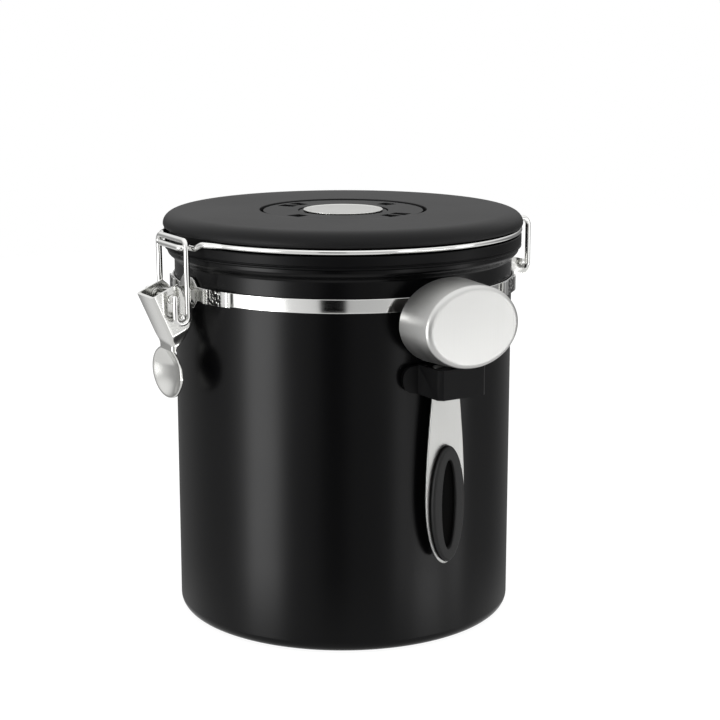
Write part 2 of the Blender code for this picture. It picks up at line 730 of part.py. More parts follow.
def bail_pin():
    """Pin through the lever's sides, which the bail hooks round."""
    length = 2 * (BAIL_HALF_WIDTH + WIRE_RADIUS + PIN_OVERHANG)
    shape = bmesh.new()
    bmesh.ops.create_cone(
        shape,
        cap_ends=True,
        segments=SMALL_TURN_STEPS // 2,
        radius1=PIN_RADIUS,
        radius2=PIN_RADIUS,
        depth=length,
    )
    mesh = bpy.data.meshes.new("bail_pin")
    shape.to_mesh(mesh)
    shape.free()
    pin = add_piece("bail_pin", mesh, polished("bail_pin"))
    place = (PIN_REACH, PIN_HEIGHT, 0.0)
    pin.matrix_world = edgeways(CLASP_AZIMUTH) @ Matrix.Translation(place)
    return pin


def bail_wire():
    """Bail: each leg comes down to the pin, hooks round it and ends beside the lever."""
    bar_height = NOSE_HEIGHT + BAIL_BAR_ABOVE_NOSE
    frame = edgeways(CLASP_AZIMUTH)

    def place(out, up, across):
        return frame @ Vector((out, up, across))

    hook = (HOOK_RADIUS, HOOK_RADIUS)
    half = [place(PIN_REACH + HOOK_RADIUS, PIN_HEIGHT + BAIL_TAIL_RISE, BAIL_HALF_WIDTH)]
    for out, up in arc((PIN_REACH, PIN_HEIGHT), hook, 0.0, -math.pi, 2 * BEND_STEPS):
        half.append(place(out, up, BAIL_HALF_WIDTH))
    corner = place(BAIL_LEG_REACH + BAIL_BAR_INSET, bar_height, BAIL_HALF_WIDTH)
    far_corner = place(BAIL_LEG_REACH + BAIL_BAR_INSET, bar_height, -BAIL_HALF_WIDTH)
    top = bent_path([(half[-1], 0.0), (corner, BAIL_CORNER), (far_corner, 0.0)])
    half += top[1:-1]
    mirrored = [Vector((point.x, -point.y, point.z)) for point in reversed(half)]
    return wire("bail_wire", half + mirrored, WIRE_RADIUS, polished("bail_wire", 0.15))


def hinge_bracket():
    material = polished("hinge_bracket", 0.28)
    tail = BRACKET_INNER * HINGE_TAIL_ANGLE
    outline = bracket_outline(HINGE_BRACKET_HALF_WIDTH, HINGE_BRACKET_FOOT, HINGE_BRACKET_HEAD, tail)
    base = wrapped_plate(
        "hinge_bracket", outline, BRACKET_INNER, BRACKET_SHEET, HINGE_AZIMUTH, material
    )
    ear_middle = HINGE_BRACKET_HALF_WIDTH - BRACKET_CORNER - HINGE_EAR_SHEET / 2
    root = root_reach(BRACKET_INNER + BRACKET_SHEET / 2, ear_middle)
    axis_place = (HINGE_REACH, HINGE_HEIGHT)
    radii = (HINGE_EAR_TIP, HINGE_EAR_TIP)
    top = HINGE_BRACKET_HEAD - HINGE_EAR_MARGIN
    ear = [(root, HINGE_BRACKET_FOOT + HINGE_EAR_MARGIN)]
    ear += arc(axis_place, radii, -math.pi / 2, math.pi / 2, 2 * BEND_STEPS)
    ear += [(HINGE_REACH - HINGE_EAR_SHOULDER, top), (root, top)]
    hole = circle(axis_place, WIRE_RADIUS + SURFACE_GAP)
    for offset in (ear_middle, -ear_middle):
        placement = edgeways(HINGE_AZIMUTH, offset)
        join_to_wrapped(base, plate("hinge_ear", [ear, hole], HINGE_EAR_SHEET, placement))


def scoop_holder():
    """Foam pad, and the moulded wing plate whose loop takes the scoop's handle."""
    low = HOLDER_MIDDLE - WING_HEIGHT / 2
    high = HOLDER_MIDDLE + WING_HEIGHT / 2
    pad = rounded_box(
        WING_HALF_WIDTH - PAD_MARGIN, low + PAD_MARGIN, high - PAD_MARGIN, WING_ROUND - PAD_MARGIN
    )
    foam = make_material("holder_pad_foam", RUBBER_BLACK, 0.9)
    wrapped_plate("holder_pad", pad, BRACKET_INNER, PAD_THICKNESS, SCOOP_AZIMUTH, foam)

    wing = rounded_box(WING_HALF_WIDTH, low, high, WING_ROUND)
    holder = wrapped_plate(
        "scoop_holder", wing, WING_INNER, WING_THICKNESS, SCOOP_AZIMUTH, moulded("scoop_holder")
    )
    root = root_reach(WING_INNER + WING_THICKNESS / 2, LOOP_OUTER_HALF_WIDTH)
    inner_front = LOOP_INNER_REACH
    outer_front = inner_front + LOOP_FRONT_WALL
    half_loop = [
        (LOOP_OUTER_HALF_WIDTH, root),
        (LOOP_OUTER_HALF_WIDTH, outer_front - LOOP_WALL),
        (LOOP_OUTER_HALF_WIDTH - LOOP_WALL, outer_front),
    ]
    half_slot = [(LOOP_INNER_HALF_WIDTH, inner_front), (LOOP_INNER_HALF_WIDTH, root)]
    loop = half_loop + [(-x, y) for x, y in reversed(half_loop)]
    loop += [(-x, y) for x, y in reversed(half_slot)] + half_slot
    lying = Matrix.Rotation(SCOOP_AZIMUTH, 4, "Z") @ Matrix.Translation((0.0, 0.0, HOLDER_MIDDLE))
    outline = [(x, -y) for x, y in loop]
    join_to_wrapped(holder, plate("holder_loop", [outline], HOLDER_HEIGHT, lying))


def scoop_cup():
    """Drawn oval cup on its side, with its base outwards and its mouth towards the can."""
    edge = (CUP_BASE_RADIUS - CUP_EDGE_ROUND, CUP_DEPTH - CUP_EDGE_ROUND)
    profile = [(0.0, CUP_DEPTH)]
    profile += arc(edge, (CUP_EDGE_ROUND, CUP_EDGE_ROUND), math.pi / 2, 0.0, BEND_STEPS)
    profile.append((CUP_RADIUS, 0.0))
    steps = SMALL_TURN_STEPS
    cup = turned("scoop_cup", profile, polished("scoop_cup", 0.35), False, steps, CUP_SHEET)
    wider = Matrix.Diagonal((CUP_WIDENING, 1.0, 1.0, 1.0))
    cup.matrix_world = facing(SCOOP_AZIMUTH, HANDLE_FACE, CUP_HEIGHT) @ wider
    return cup


def scoop_handle():
    """Steel strip that hangs in the holder, with a flange on top welded under the cup."""
    strip_top = HOLDER_TOP - HANDLE_SHEET / 2
    right = [(HANDLE_NECK_HALF_WIDTH, strip_top)]
    for step in range(ARC_STEPS + 1):
        share = step / ARC_STEPS
        swell = math.sin(math.pi / 2 * share)
        x = HANDLE_NECK_HALF_WIDTH + (HANDLE_HALF_WIDTH - HANDLE_NECK_HALF_WIDTH) * swell
        right.append((x, HANDLE_NECK_END + (HANDLE_WIDE_START - HANDLE_NECK_END) * share))
    end_middle = (0.0, HANDLE_WIDE_START)
    radii = (HANDLE_HALF_WIDTH, HANDLE_WIDE_LENGTH)
    outline = right + arc(end_middle, radii, 0.0, -math.pi, 4 * ARC_STEPS)[1:-1]
    outline += [(-x, y) for x, y in reversed(right)]
    placement = facing(SCOOP_AZIMUTH, HANDLE_REACH + HANDLE_SHEET / 2)
    material = polished("scoop_handle", 0.25)
    handle = plate("scoop_handle", [outline], HANDLE_SHEET, placement, material)

    root = HANDLE_REACH + HANDLE_SHEET / 2
    end = LOOP_INNER_REACH - SURFACE_GAP
    low = HOLDER_TOP - HANDLE_SHEET
    flange = [(root, low), (end, low), (end, HOLDER_TOP), (root, HOLDER_TOP)]
    width = 2 * (HANDLE_NECK_HALF_WIDTH - FLANGE_SIDE_INSET)
    combine(handle, plate("handle_flange", [flange], width, edgeways(SCOOP_AZIMUTH)), "UNION")
    return handle


def scoop_grip():
    """Rubber oval on the handle, with a long slot sunk in its face."""
    middle = (0.0, (GRIP_FOOT + GRIP_HEAD) / 2)
    radii = (GRIP_HALF_WIDTH, GRIP_LENGTH / 2)
    oval = arc(middle, radii, 0.0, 2 * math.pi, 8 * ARC_STEPS)[:-1]
    placement = facing(SCOOP_AZIMUTH, GRIP_SEAT + GRIP_THICKNESS / 2)
    rubber = make_material("scoop_grip_rubber", RUBBER_BLACK, 0.6)
    grip = plate("scoop_grip", [oval], GRIP_THICKNESS, placement, rubber)
    radii = (GRIP_SLOT_HALF_WIDTH, GRIP_LENGTH / 2 - GRIP_SLOT_MARGIN)
    slot = arc(middle, radii, 0.0, 2 * math.pi, 8 * ARC_STEPS)[:-1]
    cutter = facing(SCOOP_AZIMUTH, GRIP_SEAT + GRIP_THICKNESS)
    combine(grip, plate("grip_slot", [slot], 2 * GRIP_SLOT_DEPTH, cutter), "DIFFERENCE")
    return grip


def lid_base():
    """Moulded base of the lid: collar, gasket groove, plug with a floor, and boss."""
    roof = GASKET_SEAT + COLLAR_ROOF
    groove_outer = COLLAR_RADIUS - COLLAR_LIP
    groove_inner = groove_outer - GASKET_WIDTH - 2 * SURFACE_GAP
    boss_inner = BOSS_RADIUS - BOSS_WALL
    plug_inner = PLUG_RADIUS - PLUG_WALL
    valve_hole = VALVE_BODY_RADIUS + SURFACE_GAP
    profile = [
        (COLLAR_RADIUS, COLLAR_TOP),
        (COLLAR_RADIUS, LID_FOOT),
        (groove_outer, LID_FOOT),
        (groove_outer, GASKET_SEAT),
        (groove_inner, GASKET_SEAT),
        (groove_inner, LID_FOOT),
        (PLUG_RADIUS, LID_FOOT),
        (PLUG_RADIUS, LID_FLOOR_FOOT),
        (valve_hole, LID_FLOOR_FOOT),
        (valve_hole, LID_FLOOR_TOP),
        (plug_inner, LID_FLOOR_TOP),
        (plug_inner, roof),
        (boss_inner, roof),
        (boss_inner, BOSS_TOP),
        (BOSS_RADIUS, BOSS_TOP),
        (BOSS_RADIUS, COLLAR_TOP),
    ]
    return turned("lid_base", profile, moulded("lid_base"), ring=True)


def lid_gasket():
    outer = COLLAR_RADIUS - COLLAR_LIP - SURFACE_GAP
    inner = outer - GASKET_WIDTH
    top = LID_FOOT + GASKET_THICKNESS
    profile = [(outer, top), (outer, LID_FOOT), (inner, LID_FOOT), (inner, top)]
    rubber = make_material("lid_gasket_rubber", RUBBER_BLACK, 0.6)
    return turned("lid_gasket", profile, rubber, ring=True)


def lid_cap():
    """Moulded cap of the lid, with a round shoulder and the recess of the dial."""
    shoulder = (CAP_TOP_RADIUS, CAP_SHOULDER)
    radii = (CAP_SHOULDER_WIDTH, CAP_SHOULDER_HEIGHT)
    seat_inner = BOSS_RADIUS - BOSS_WALL - SURFACE_GAP
    ceiling = LID_TOP - CAP_SHEET
    recess_outer = DIAL_RECESS_RADIUS + RECESS_WALL
    stem_hole = HUB_STEM_RADIUS + SURFACE_GAP
    profile = arc(shoulder, radii, math.pi / 2, 0.0, ARC_STEPS)
    profile += [
        (CAP_RADIUS - CAP_EDGE_INSET, CAP_FOOT),
        (seat_inner, CAP_FOOT),
        (seat_inner - CAP_HAUNCH, ceiling),
        (recess_outer, ceiling),
        (recess_outer, DIAL_FLOOR - RECESS_FLOOR),
        (stem_hole, DIAL_FLOOR - RECESS_FLOOR),
        (stem_hole, DIAL_FLOOR),
        (DIAL_RECESS_RADIUS, DIAL_FLOOR),
        (DIAL_RECESS_RADIUS, LID_TOP - RECESS_EDGE),
        (DIAL_RECESS_RADIUS + RECESS_EDGE, LID_TOP),
    ]
    return turned("lid_cap", profile, moulded("lid_cap", CAP_GREY, 0.4), ring=True)


def number_plate():
    inner = HUB_STEM_RADIUS + SURFACE_GAP
    top = PLATE_FOOT + PLATE_THICKNESS
    profile = [
        (DATE_RING_RADIUS, top),
        (DATE_RING_RADIUS, PLATE_FOOT),
        (inner, PLATE_FOOT),
        (inner, top),
    ]
    return turned("number_plate", profile, moulded("number_plate", PLATE_WHITE), ring=True)


def date_ring():
    """Turning ring with two pairs of windows and two finger notches."""
    ledge_bore = DATE_RING_BORE - RING_LEDGE_WIDTH
    ledge_top = DATE_RING_FOOT + RING_LEDGE_HEIGHT
    profile = [
        (DATE_RING_RADIUS, DATE_RING_TOP),
        (DATE_RING_RADIUS, DATE_RING_FOOT),
        (ledge_bore, DATE_RING_FOOT),
        (ledge_bore, ledge_top),
        (DATE_RING_BORE, ledge_top),
        (DATE_RING_BORE, DATE_RING_TOP),
    ]
    ring = turned("date_ring", profile, moulded("date_ring", CAP_GREY, 0.4), ring=True)
    windows = []
    for pair in WINDOW_PAIR_AZIMUTHS:
        for middle in (pair - WINDOW_SPLIT, pair + WINDOW_SPLIT):
            windows.append(sector(WINDOW_INNER, WINDOW_OUTER, middle, WINDOW_HALF_ANGLE))
    through = DATE_RING_HEIGHT + 2 * OVERRUN
    level = Matrix.Translation((0.0, 0.0, DATE_RING_FOOT + DATE_RING_HEIGHT / 2))
    combine(ring, plate("date_windows", windows, through, level), "DIFFERENCE")
    notches = [
        sector(WINDOW_INNER, NOTCH_OUTER, middle, NOTCH_HALF_ANGLE) for middle in NOTCH_AZIMUTHS
    ]
    level = Matrix.Translation((0.0, 0.0, DATE_RING_TOP))
    combine(ring, plate("finger_notches", notches, 2 * NOTCH_DEPTH, level), "DIFFERENCE")
    return ring


def dial_hub():
    """Hub that holds the date ring down, and the bare steel disc on top of it."""
    rim_radius = DATE_RING_BORE - SURFACE_GAP
    step_radius = DATE_RING_BORE - RING_LEDGE_WIDTH - SURFACE_GAP
    rim_foot = DATE_RING_FOOT + RING_LEDGE_HEIGHT + SURFACE_GAP
    top = DATE_RING_TOP - HUB_SINK
    profile = [
        (0.0, top),
        (rim_radius, top),
        (rim_radius, rim_foot),
        (step_radius, rim_foot),
        (step_radius, DATE_RING_FOOT),
        (HUB_STEM_RADIUS, DATE_RING_FOOT),
        (HUB_STEM_RADIUS, DIAL_FLOOR - RECESS_FLOOR),
        (0.0, DIAL_FLOOR - RECESS_FLOOR),
    ]
    hub = turned("dial_hub", profile, moulded("dial_hub"), ring=False, steps=SMALL_TURN_STEPS)
    foot = top + SURFACE_GAP
    disc = [
        (0.0, foot + BADGE_THICKNESS),
        (BADGE_RADIUS, foot + BADGE_THICKNESS),
        (BADGE_RADIUS, foot),
        (0.0, foot),
    ]
    badge = turned("badge_disc", disc, polished("badge_disc", 0.35), ring=False)
    return [hub, badge]


def gas_valve():
    """Valve seat in the lid's floor, the umbrella flap on its vents and a filter below."""
    flange_foot = LID_FLOOR_TOP + SURFACE_GAP
    seat_top = flange_foot + VALVE_FLANGE_HEIGHT
    recess_radius = FILTER_RADIUS + SURFACE_GAP
    recess_top = LID_FLOOR_FOOT + FILTER_THICKNESS + SURFACE_GAP
    bore = VALVE_STEM_RADIUS + SURFACE_GAP
    profile = [
        (VALVE_FLANGE_RADIUS, seat_top),
        (VALVE_FLANGE_RADIUS, flange_foot),
        (VALVE_BODY_RADIUS, flange_foot),
        (VALVE_BODY_RADIUS, LID_FLOOR_FOOT),
        (recess_radius, LID_FLOOR_FOOT),
        (recess_radius, recess_top),
        (bore, recess_top),
        (bore, seat_top),
    ]
    white = moulded("valve_seat", VALVE_WHITE)
    seat = turned("valve_seat", profile, white, ring=True, steps=SMALL_TURN_STEPS)
    vents = []
    for number in range(VENT_COUNT):
        middle = polar(VENT_CIRCLE_RADIUS, math.tau * number / VENT_COUNT)
        vents.append(circle(middle, VENT_RADIUS, SMALL_TURN_STEPS // 4))
    through = seat_top - recess_top + 2 * OVERRUN
    level = Matrix.Translation((0.0, 0.0, (seat_top + recess_top) / 2))
    combine(seat, plate("valve_vents", vents, through, level), "DIFFERENCE")

    flap_foot = seat_top + SURFACE_GAP
    stem_foot = recess_top + SURFACE_GAP
    profile = [
        (0.0, flap_foot + FLAP_CROWN),
        (VALVE_STEM_RADIUS + FLAP_CROWN, flap_foot + FLAP_CROWN),
        (FLAP_RADIUS, flap_foot + FLAP_EDGE),
        (FLAP_RADIUS, flap_foot),
        (VALVE_STEM_RADIUS, flap_foot),
        (VALVE_STEM_RADIUS, stem_foot),
        (0.0, stem_foot),
    ]
    silicone = make_material("umbrella_valve_silicone", RUBBER_BLACK, 0.6)
    flap = turned("umbrella_valve", profile, silicone, ring=False, steps=SMALL_TURN_STEPS)
    profile = [
        (0.0, LID_FLOOR_FOOT + FILTER_THICKNESS),
        (FILTER_RADIUS, LID_FLOOR_FOOT + FILTER_THICKNESS),
        (FILTER_RADIUS, LID_FLOOR_FOOT),
        (0.0, LID_FLOOR_FOOT),
    ]
    felt = make_material("valve_filter_felt", VALVE_WHITE, 0.9)
    mesh_disc = turned("valve_filter", profile, felt, ring=False, steps=SMALL_TURN_STEPS)
    return [seat, flap, mesh_disc]


def lid_ring():
    """Wire round the lid's groove: a nose at the clasp, and two legs into the hinge."""
    leave = around(RING_RADIUS, HINGE_AZIMUTH - HINGE_LEAVE_ANGLE, RING_HEIGHT)
    # The leg runs straight out where the tangent of the groove meets its line
    slope = math.tan(HINGE_LEAVE_ANGLE)
    turn_in = leave.x + (-HINGE_LEG_OFFSET - leave.y) * slope
    half = bent_path(
        [
            (Vector((HINGE_REACH, -HINGE_END_OFFSET, HINGE_HEIGHT)), 0.0),
            (Vector((HINGE_REACH, -HINGE_LEG_OFFSET, HINGE_HEIGHT)), HINGE_END_BEND),
            (Vector((HINGE_REACH, -HINGE_LEG_OFFSET, RING_HEIGHT)), HINGE_LEG_BEND),
            (Vector((turn_in, -HINGE_LEG_OFFSET, RING_HEIGHT)), HINGE_LEG_BEND),
            (leave, 0.0),
        ]
    )
    start = HINGE_AZIMUTH - HINGE_LEAVE_ANGLE
    end = CLASP_AZIMUTH + NOSE_ENTRY_ANGLE
    steps = round((start - end) / RING_STEP)
    for step in range(1, steps + 1):
        half.append(around(RING_RADIUS, start + (end - start) * step / steps, RING_HEIGHT))
    half.append(around(RUN_RADIUS, CLASP_AZIMUTH + NOSE_CLEAR_ANGLE, RING_HEIGHT))
    half.append(around(RUN_RADIUS, CLASP_AZIMUTH + NOSE_DROP_ANGLE, NOSE_HEIGHT))
    entry = math.asin(NOSE_HALF_WIDTH / RUN_RADIUS)
    nose = bent_path(
        [
            (half[-1], 0.0),
            (around(RUN_RADIUS, CLASP_AZIMUTH + entry, NOSE_HEIGHT), NOSE_BEND),
            (Vector((-NOSE_REACH, -NOSE_HALF_WIDTH, NOSE_HEIGHT)), NOSE_BEND),
            (Vector((-NOSE_REACH, NOSE_HALF_WIDTH, NOSE_HEIGHT)), 0.0),
        ]
    )
    half += nose[1:-1]
    mirrored = [Vector((point.x, -point.y, point.z)) for point in reversed(half)]
    return wire("lid_ring", half + mirrored, WIRE_RADIUS, polished("lid_ring", 0.15))


def settle(piece):
    """Keep a piece's finished shape, shaded smooth except at its edges."""
    evaluated = piece.evaluated_get(bpy.context.evaluated_depsgraph_get())
    mesh = bpy.data.meshes.new_from_object(evaluated)
    mesh.name = piece.name
    piece.modifiers.clear()
    piece.data = mesh
    mesh.shade_smooth()
    mesh.set_sharp_from_angle(angle=SMOOTH_ANGLE)


canister_body()
straps()
clasp_bracket()
lever_rivet()
hinge_bracket()
scoop_holder()

lid_pieces = [lid_base(), lid_gasket(), lid_cap(), number_plate(), lid_ring()]
lid_pieces += dial_hub() + gas_valve()
lid_hinge = pivot("lid_hinge", (HINGE_REACH, 0.0, HINGE_HEIGHT), lid_pieces)
dial_axis = pivot("dial_axis", (0.0, 0.0, DATE_RING_FOOT), [date_ring()])

lever_place = (-PIVOT_REACH, 0.0, PIVOT_HEIGHT)
lever_pivot = pivot("lever_pivot", lever_place, [clasp_lever(), bail_pin()])
bail_place = (-PIN_REACH, 0.0, PIN_HEIGHT)
bail_pivot = pivot("bail_pivot", bail_place, [bail_wire()])

scoop_place = around(HANDLE_REACH, SCOOP_AZIMUTH, HOLDER_TOP)
pivot("scoop_slide", scoop_place, [scoop_cup(), scoop_handle(), scoop_grip()])

bpy.context.view_layer.update()
for piece in [thing for thing in PARTS.objects if thing.type == "MESH"]:
    settle(piece)
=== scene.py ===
import bmesh
import bpy
import numpy as np
from mathutils import Matrix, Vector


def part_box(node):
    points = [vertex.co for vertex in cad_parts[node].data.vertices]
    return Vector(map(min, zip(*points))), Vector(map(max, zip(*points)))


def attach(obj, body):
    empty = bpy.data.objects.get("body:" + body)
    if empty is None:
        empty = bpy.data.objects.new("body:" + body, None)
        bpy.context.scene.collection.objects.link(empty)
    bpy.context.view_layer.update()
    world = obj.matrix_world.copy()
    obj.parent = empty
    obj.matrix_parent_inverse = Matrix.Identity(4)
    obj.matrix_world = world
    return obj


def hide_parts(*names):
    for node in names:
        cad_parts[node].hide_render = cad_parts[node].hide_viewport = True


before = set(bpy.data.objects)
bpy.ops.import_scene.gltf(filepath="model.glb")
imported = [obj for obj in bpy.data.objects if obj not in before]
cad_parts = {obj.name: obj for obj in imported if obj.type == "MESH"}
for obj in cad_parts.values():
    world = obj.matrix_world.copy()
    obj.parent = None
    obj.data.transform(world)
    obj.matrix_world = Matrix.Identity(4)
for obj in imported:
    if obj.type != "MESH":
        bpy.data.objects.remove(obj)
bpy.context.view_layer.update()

# Camera: stands 30 degrees round towards the clasp and looks 12 degrees down,
# with the long lens of a product shot.
scene = bpy.context.scene
lens = bpy.data.cameras.new("camera")
lens.lens = 86.77
lens.sensor_width = 36.0
camera = bpy.data.objects.new("camera", lens)
camera.location = (-0.3146, -0.5574, 0.2286)
camera.rotation_euler = np.radians((78.02, 0.0, -30.0))
scene.collection.objects.link(camera)
scene.camera = camera


# Can body: drawn steel sheet with a rounded foot and a flared mouth, sprayed
# outside with black enamel that has a fine satin grain, and left bare inside.
def bent(corners, steps=14):
    """Straight runs joined by arcs: corner (place, r) becomes an arc of radius r that touches both runs."""
    path = [np.asarray(corners[0][0])]
    for (before, _), (corner, r), (after, _) in zip(corners, corners[1:], corners[2:]):
        before, corner, after = np.asarray(before), np.asarray(corner), np.asarray(after)
        if r == 0.0:
            path.append(corner)
            continue
        back = (before - corner) / np.linalg.norm(before - corner)
        ahead = (after - corner) / np.linalg.norm(after - corner)
        half = np.arccos(np.clip(back @ ahead, -1.0, 1.0)) / 2
        middle = corner + (back + ahead) / np.linalg.norm(back + ahead) * r / np.sin(half)
        first = corner + back * r / np.tan(half) - middle
        last = corner + ahead * r / np.tan(half) - middle
        turn = np.pi - 2 * half
        share = np.linspace(0.0, 1.0, steps + 1)[:, None]
        spoke = np.sin((1 - share) * turn) * first + np.sin(share * turn) * last
        path += list(middle + spoke / np.sin(turn))
    path.append(np.asarray(corners[-1][0]))
    return path


def fillet(corners, steps=8):
    """The same for a flat profile, whose corners are given as (x, y, r)."""
    return np.array(bent([((x, y), r) for x, y, r in corners], steps))


def surface(grid, wrap_u=False, wrap_v=False, capped=False):
    """Grid of points (u, v, 3) becomes quads; a wrapped direction joins its last row to its first."""
    count_u, count_v = grid.shape[:2]
    index = np.arange(count_u * count_v).reshape(count_u, count_v)
    if wrap_u:
        index = np.vstack((index, index[:1]))
    if wrap_v:
        index = np.hstack((index, index[:, :1]))
    corners = (index[:-1, :-1], index[1:, :-1], index[1:, 1:], index[:-1, 1:])
    faces = np.stack(corners, axis=-1).reshape(-1, 4).tolist()
    if capped:
        faces += [index[0, :count_v].tolist(), index[-1, :count_v].tolist()]
    mesh = bpy.data.meshes.new("surface")
    mesh.from_pydata(grid.reshape(-1, 3).tolist(), [], faces)
    return mesh


def as_piece(name, material, shape, smooth):
    """An object of one material; edges that bend by more than the angle stay sharp."""
    mesh = bpy.data.meshes.new(name)
    shape.to_mesh(mesh)
    shape.free()
    mesh.materials.append(material)
    mesh.shade_smooth()
    mesh.set_sharp_from_angle(angle=np.radians(smooth))
    piece = bpy.data.objects.new(name, mesh)
    scene.collection.objects.link(piece)
    return piece


def finish(name, material, *meshes, smooth=35.0):
    """Join meshes, close their poles and seams, turn their faces outwards and make the piece."""
    shape = bmesh.new()
    for mesh in meshes:
        shape.from_mesh(mesh)
        bpy.data.meshes.remove(mesh)
    bmesh.ops.remove_doubles(shape, verts=shape.verts, dist=0.000002)
    bmesh.ops.dissolve_degenerate(shape, edges=shape.edges, dist=0.000001)
    bmesh.ops.recalc_face_normals(shape, faces=shape.faces)
    if shape.calc_volume(signed=True) < 0.0:
        bmesh.ops.reverse_faces(shape, faces=shape.faces)
    return as_piece(name, material, shape, smooth)


def revolve(profile, steps=192):
    """Point (r, z) of the profile goes to (r sin a, -r cos a, z) for every angle a."""
    angle = np.linspace(0.0, 2 * np.pi, steps, endpoint=False)[:, None]
    radius, height = np.asarray(profile, dtype=float).T
    grid = np.stack((radius * np.sin(angle), -radius * np.cos(angle), height + 0 * angle), axis=-1)
    return surface(grid, wrap_u=True)


def srgb(code):
    """Hex sRGB to linear: c / 12.92 up to 0.04045, else ((c + 0.055) / 1.055) ** 2.4."""
    channel = np.array([int(code[start:start + 2], 16) for start in (1, 3, 5)]) / 255
    linear = np.where(channel <= 0.04045, channel / 12.92, ((channel + 0.055) / 1.055) ** 2.4)
    return (*linear.tolist(), 1.0)


def add(tree, kind, inputs=(), **settings):
    """Add one node with its settings; an input takes a value, an output, or a node for its first output."""
    made = tree.nodes.new(kind)
    for name, value in settings.items():
        setattr(made, name, value)
    for name, value in dict(inputs).items():
        value = value.outputs[0] if isinstance(value, bpy.types.Node) else value
        if isinstance(value, bpy.types.NodeSocket):
            tree.links.new(value, made.inputs[name])
        else:
            made.inputs[name].default_value = value
    return made


def new_finish(name, colour, roughness, metallic=0.0, specular=0.5):
    """A material, its tree, its shader with the constant values, and the place that its patterns read."""
    made = bpy.data.materials.new(name)
    made.use_nodes = True
    tree = made.node_tree
    shader = tree.nodes["Principled BSDF"]
    shader.inputs["Base Color"].default_value = srgb(colour)
    shader.inputs["Roughness"].default_value = roughness
    shader.inputs["Metallic"].default_value = metallic
    shader.inputs["Specular IOR Level"].default_value = specular
    return made, tree, shader, add(tree, "ShaderNodeTexCoord").outputs["Object"]


def streaks(place, scale, detail, rotation=(0.0, 0.0, 0.0)):
    """Noise whose place is turned and then stretched, so that it runs in lines."""
    tree = place.id_data
    turned = add(tree, "ShaderNodeMapping", {"Vector": place, "Rotation": rotation, "Scale": scale})
    return add(tree, "ShaderNodeTexNoise", {"Vector": turned, "Scale": 1.0, "Detail": detail})


def bring_out(shader, pattern, tones=(), gloss=(), relief=()):
    """A pattern shows as a colour or a roughness between two values, or as bump (strength, distance)."""
    tree = shader.id_data
    if tones:
        shades = {"Factor": pattern, 6: srgb(tones[0]), 7: srgb(tones[1])}
        tint = add(tree, "ShaderNodeMix", shades, data_type="RGBA")
        tree.links.new(tint.outputs[2], shader.inputs["Base Color"])
    if gloss:
        rough = add(tree, "ShaderNodeMapRange", {"Value": pattern, "To Min": gloss[0], "To Max": gloss[1]})
        tree.links.new(rough.outputs["Result"], shader.inputs["Roughness"])
    if relief:
        bump = add(tree, "ShaderNodeBump", {"Height": pattern, "Strength": relief[0], "Distance": relief[1]})
        tree.links.new(bump.outputs["Normal"], shader.inputs["Normal"])


# Black stoving enamel: sprayed and baked, so it is satin, with a faint orange peel
# about 0.8 mm across and a slow drift in its gloss.
enamel, tree, shader, place = new_finish("black_enamel_sprayed", "#060607", 0.25, specular=0.15)
peel = add(tree, "ShaderNodeTexNoise", {"Vector": place, "Scale": 1250.0, "Detail": 2.0})
drift = add(tree, "ShaderNodeTexNoise", {"Vector": place, "Scale": 40.0, "Detail": 3.0})
bring_out(shader, peel, relief=(0.12, 0.00003))
bring_out(shader, drift, tones=("#050506", "#070708"), gloss=(0.22, 0.27))

# Bare stainless inside: the drawn sheet keeps fine rings round the axis, about
# 1 mm apart, which stretch its reflections up and down.
bare_steel, tree, shader, place = new_finish("stainless_drawn_inside", "#b9b9b6", 0.34, 1.0)
bring_out(shader, streaks(place, (6.0, 6.0, 1000.0), 2.0), gloss=(0.26, 0.42), relief=(0.1, 0.00002))

can_radius = 0.0625
can_height = 0.137
can_sheet = 0.0007
mouth_radius = 0.065
mouth_band = 0.001
flare_height = 0.0035
foot_round = 0.004
panel_rise = 0.0008

share = np.linspace(0.0, 1.0, 25)
flare = np.column_stack((
    can_radius + (mouth_radius - can_radius) * (1 - np.cos(np.pi * share)) / 2,
    can_height - mouth_band - flare_height * (1 - share),
))
foot = fillet([
    (0.0, panel_rise, 0.0), (0.049, panel_rise, 0.002), (0.0505, 0.0, 0.002),
    (can_radius, 0.0, foot_round), (can_radius, 0.03, 0.0),
])
wall = [(can_radius, height) for height in np.linspace(0.04, 0.13, 10)]
outside = np.vstack((foot, wall, flare, [(mouth_radius, can_height)]))
inner_radius = can_radius - can_sheet
inner_floor = panel_rise + can_sheet
inner_foot = fillet([
    (inner_radius, 0.03, 0.0), (inner_radius, inner_floor, foot_round - can_sheet), (0.0, inner_floor, 0.0),
])
inside = np.vstack(([(mouth_radius - can_sheet, can_height)], flare[::-1] - (can_sheet, 0.0), inner_foot))
can = finish("can", enamel, revolve(np.vstack((outside, inside))))
can.data.materials.append(bare_steel)
middle = np.array([face.center for face in can.data.polygons])
normal = np.array([face.normal for face in can.data.polygons])
inward = (middle[:, :2] * normal[:, :2]).sum(axis=1) < -0.001
floor_inside = (normal[:, 2] > 0.9) & (middle[:, 2] < 0.01)
corner_inside = (middle[:, 2] < foot_round + panel_rise) & (normal[:, 2] > 0.0)
can.data.polygons.foreach_set("material_index", (inward | floor_inside | corner_inside).astype(np.int32))
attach(can, "canister")
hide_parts("canister_body")


